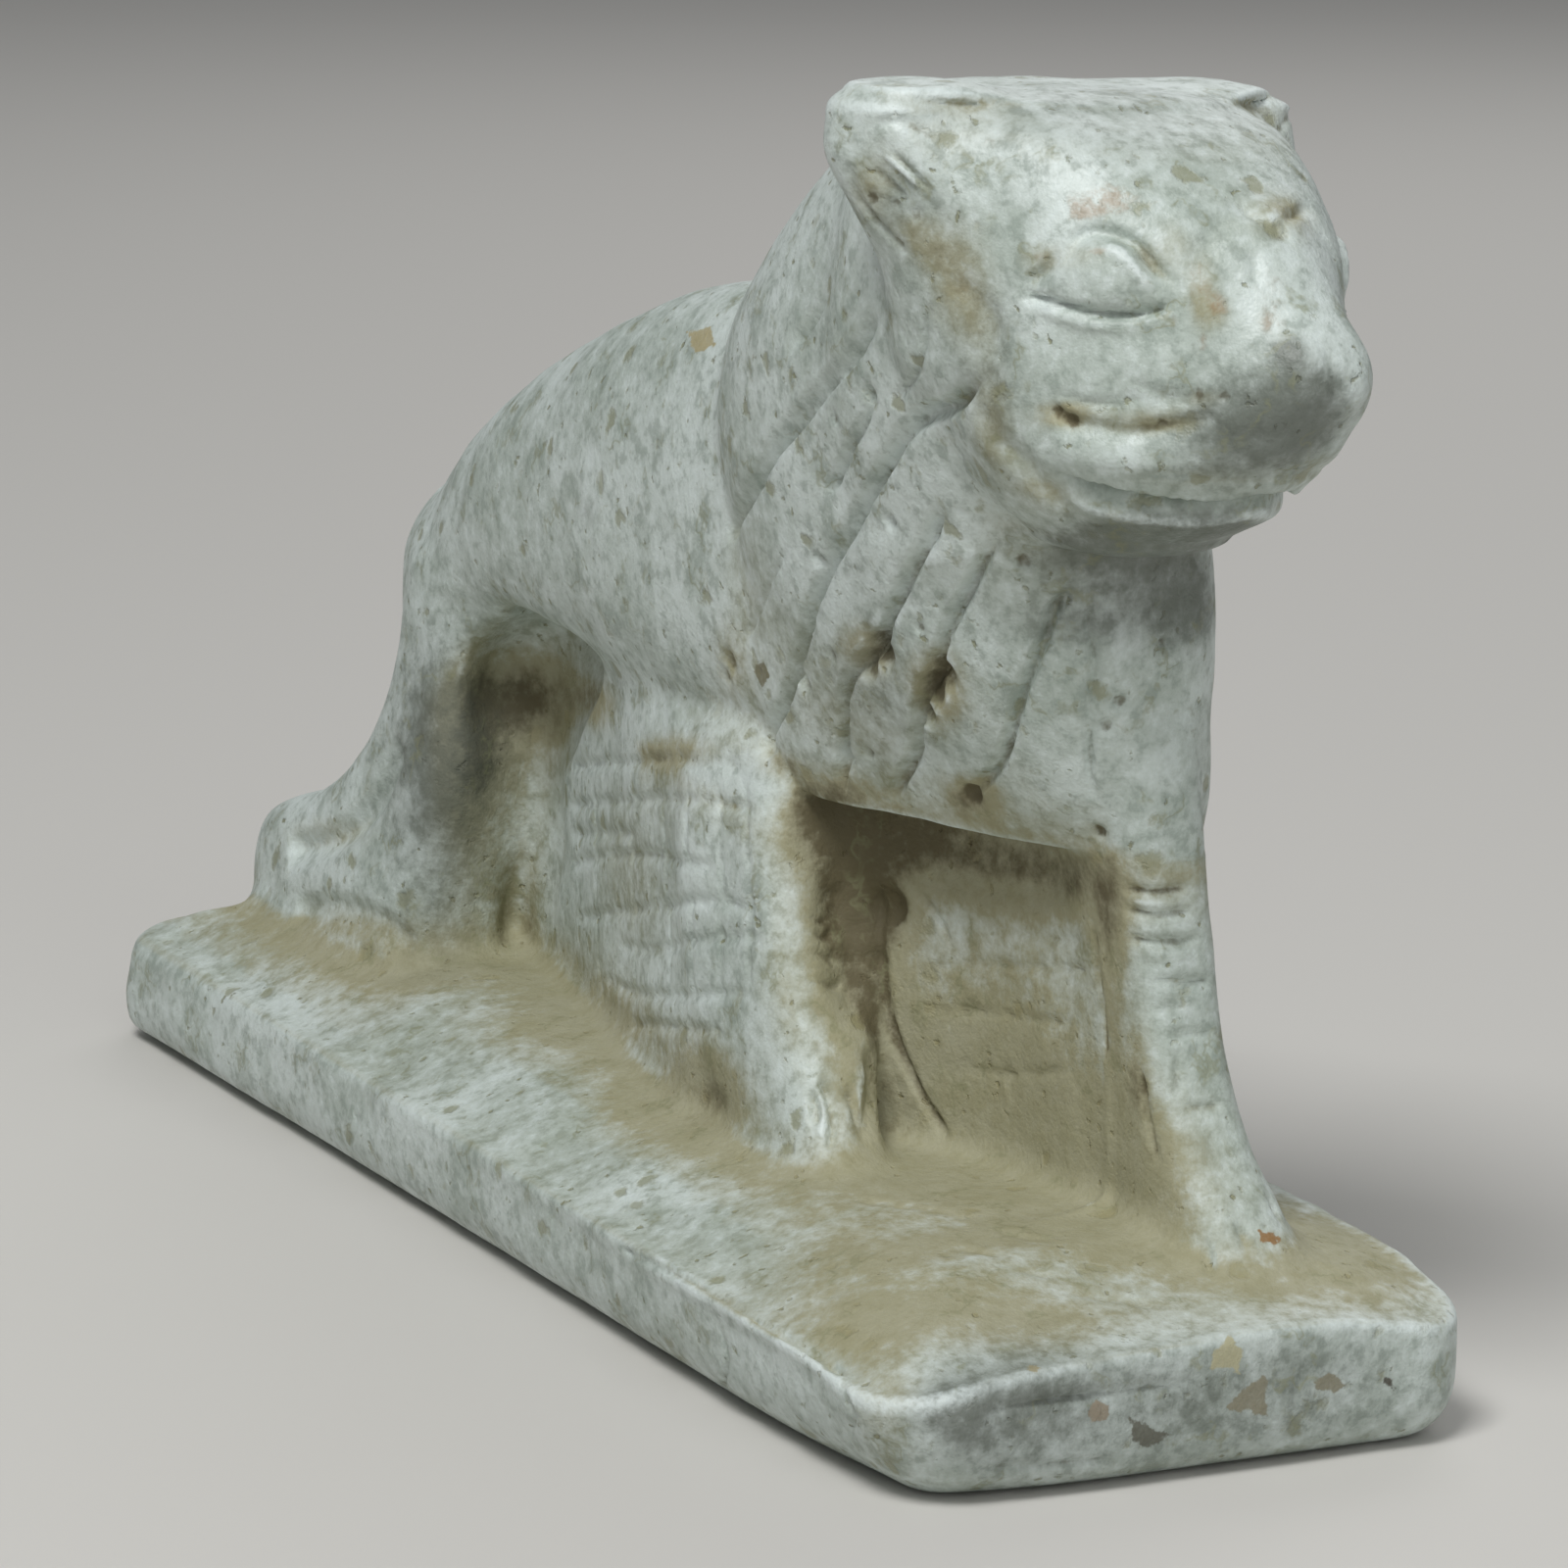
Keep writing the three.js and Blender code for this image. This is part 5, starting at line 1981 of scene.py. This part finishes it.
    @staticmethod
    def _clast(s: Shader, place: bpy.types.NodeSocket, corners: Array, wobble: Value) -> Value:
        """Share of a clast at each place: inside all its sides, and near its plane.

        Args:
            s: the material's writer.
            place: the place in mm.
            corners: the clast's corners on the skin.
            wobble: how far its outline strays, in mm.

        Returns:
            1 inside and 0 outside.
        """
        middle = corners.mean(0)
        normal = np.cross(corners[1] - corners[0], corners[2] - corners[1])
        normal /= np.linalg.norm(normal)
        inside = 1.6 - s.past(place, normal, middle).size()
        for start, end in zip(corners, np.roll(corners, -1, axis=0)):
            way = np.cross(normal, end - start)
            way /= np.linalg.norm(way) * np.sign(way @ (middle - start))
            inside = inside.least(s.past(place, way, start))
        return (inside + wobble).step(0.0, 0.22)

    def build(self, shift: Vector, sight: Sight) -> bpy.types.Material:
        """Writes the material.

        Args:
            shift: where the carver's origin stands in the frame.
            sight: finds the places of the photograph's pixels.

        Returns:
            The material.
        """
        s = Shader(self.name)
        ground = s.node("ShaderNodeTexCoord", {}, {}).outputs["Object"]
        moved = s.vector("SUBTRACT", ground, tuple(shift))
        place = s.vector("MULTIPLY", moved, (1 / MM, 1 / MM, 1 / MM))
        grain = self._grain(s, place)
        signs = {name: s.attribute(name) for name in WearAndShade.NAMES}
        flecks, specks = self._flecks(s, grain)
        film, thick_earth_and_shade = self._earths_and_shade(signs, grain, specks)

        colour = s.mix(flecks * 0.7, self._body(s, grain), self.fleck)
        colour = s.mix(specks * 0.8, colour, self.fleck)
        # Earthy film and dark layer: dirt, and painted shade in recesses and under overhangs.
        colour = s.mix(film * 0.8, colour, self.earth_and_shade)
        colour = s.mix(thick_earth_and_shade * 0.9, colour, self.dark_earth_and_shade)
        colour = self._marks(s, colour, signs, grain)
        rubbed = signs["worn"] * (grain.fine * 0.8 + 0.3) * (1 - thick_earth_and_shade)
        colour = s.mix(rubbed.step(0.15, 0.7) * 0.75, colour, self.pale)
        for clast in WearAndShade.CLASTS:
            share = self._clast(s, place, sight.places(clast.corners), (grain.mottle - 0.5) * 1.6)
            colour = s.mix(share * (0.75 + grain.fine * 0.3), colour, clast.colour)

        rough = 0.46 + film * 0.28 + (grain.mottle - 0.5) * 0.18
        height = grain.fine * 0.1 + grain.mottle * 0.16 - specks * 0.12 - flecks * 0.08
        bump = s.node("ShaderNodeBump", {}, {"Strength": 0.8, "Distance": MM, "Height": height})
        shader = s.node("ShaderNodeBsdfPrincipled", {}, {
            "Base Color": colour, "Roughness": rough, "Normal": bump.outputs[0], "Specular IOR Level": 0.45,
        })
        s.node("ShaderNodeOutputMaterial", {}, {"Surface": shader.outputs[0]})
        return s.material


@dataclass(frozen=True)
class Lamp:
    """One square soft lamp, in metres and watts."""

    name: str
    place: Point
    size: float
    power: float


@dataclass
class Studio:
    """Pale floor, soft light and the camera at the photograph's angle."""

    outlook: Outlook = field(default_factory=Outlook)
    film: float = 36.0
    half_floor: float = 3.0
    floor_colour: Colour = srgb(205, 203, 198)
    aim: Point = (0, 0, 0.05)
    sky: Colour = (0.9, 0.92, 0.95, 1)
    sky_strength: float = 0.22
    lamps: Tuple[Lamp, ...] = (
        Lamp("key", (0.4, -0.42, 0.9), 0.34, 7.2),
        Lamp("fill", (0.95, -0.1, 0.45), 0.7, 2.4),
        Lamp("back", (-0.6, 0.5, 0.6), 0.6, 1.6),
    )

    def camera(self, shift: Vector) -> None:
        """Places the camera.

        Args:
            shift: where the carver's origin stands in the frame.
        """
        right, upright, back = (Vector(way) for way in self.outlook.axes())
        turned = Matrix((right, upright, back)).transposed().to_4x4()
        data = bpy.data.cameras.new("camera")
        data.sensor_width = self.film
        data.lens = self.film * self.outlook.reach / self.outlook.picture
        data.clip_start = 0.01
        camera = bpy.data.objects.new("camera", data)
        camera.matrix_world = Matrix.Translation(Vector(self.outlook.place) * MM + shift) @ turned
        bpy.context.scene.collection.objects.link(camera)
        bpy.context.scene.camera = camera

    def hang(self, lamp: Lamp) -> None:
        """Hangs one lamp that faces the statue.

        Args:
            lamp: the lamp.
        """
        data = bpy.data.lights.new(lamp.name, "AREA")
        data.size = lamp.size
        data.energy = lamp.power
        hung = bpy.data.objects.new(lamp.name, data)
        hung.location = lamp.place
        hung.rotation_euler = (Vector(self.aim) - Vector(lamp.place)).to_track_quat("-Z", "Y").to_euler()
        bpy.context.scene.collection.objects.link(hung)

    def floor(self) -> None:
        """Lays the pale floor."""
        mesh = bpy.data.meshes.new("floor")
        half = self.half_floor
        square = [(-half, -half, 0), (half, -half, 0), (half, half, 0), (-half, half, 0)]
        mesh.from_pydata(square, [], [(0, 1, 2, 3)])
        shader = Shader("pale_floor")
        paint = {"Base Color": self.floor_colour, "Roughness": 0.8}
        body = shader.node("ShaderNodeBsdfPrincipled", {}, paint)
        shader.node("ShaderNodeOutputMaterial", {}, {"Surface": body.outputs[0]})
        mesh.materials.append(shader.material)
        floor = bpy.data.objects.new("floor", mesh)
        bpy.context.scene.collection.objects.link(floor)

    def build(self, shift: Vector) -> None:
        """Sets up the whole studio.

        Args:
            shift: where the carver's origin stands in the frame.
        """
        self.camera(shift)
        self.floor()
        for lamp in self.lamps:
            self.hang(lamp)
        world = bpy.data.worlds.new("studio")
        world.use_nodes = True
        background = world.node_tree.nodes["Background"]
        background.inputs["Color"].default_value = self.sky
        background.inputs["Strength"].default_value = self.sky_strength
        bpy.context.scene.world = world
        bpy.context.scene.view_settings.view_transform = "Standard"


def corners(box: Tuple[Vector, Vector]) -> List[List[float]]:
    """Turns a box into plain numbers.

    Args:
        box: its lowest and highest corners.

    Returns:
        The corners as lists.
    """
    return [[float(v) for v in corner] for corner in box]


def main() -> None:
    """Builds the statue, dresses it and sets up the studio."""
    logging.basicConfig(level=logging.INFO, format="%(name)s: %(message)s")
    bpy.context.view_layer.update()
    sight = Sight(Beast(), Outlook())
    statue = Statue(sight).build()
    shift = frame_shift(sight.beast)
    statue.data.materials.append(Stone().build(shift, sight))
    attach(statue, "root")
    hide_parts("lioness_statue")
    LOG.info("statue: %d faces", len(statue.data.polygons))
    Studio().build(shift)
    LOG.info("studio set")
    bpy.context.view_layer.update()


if __name__ == "__main__":
    main()
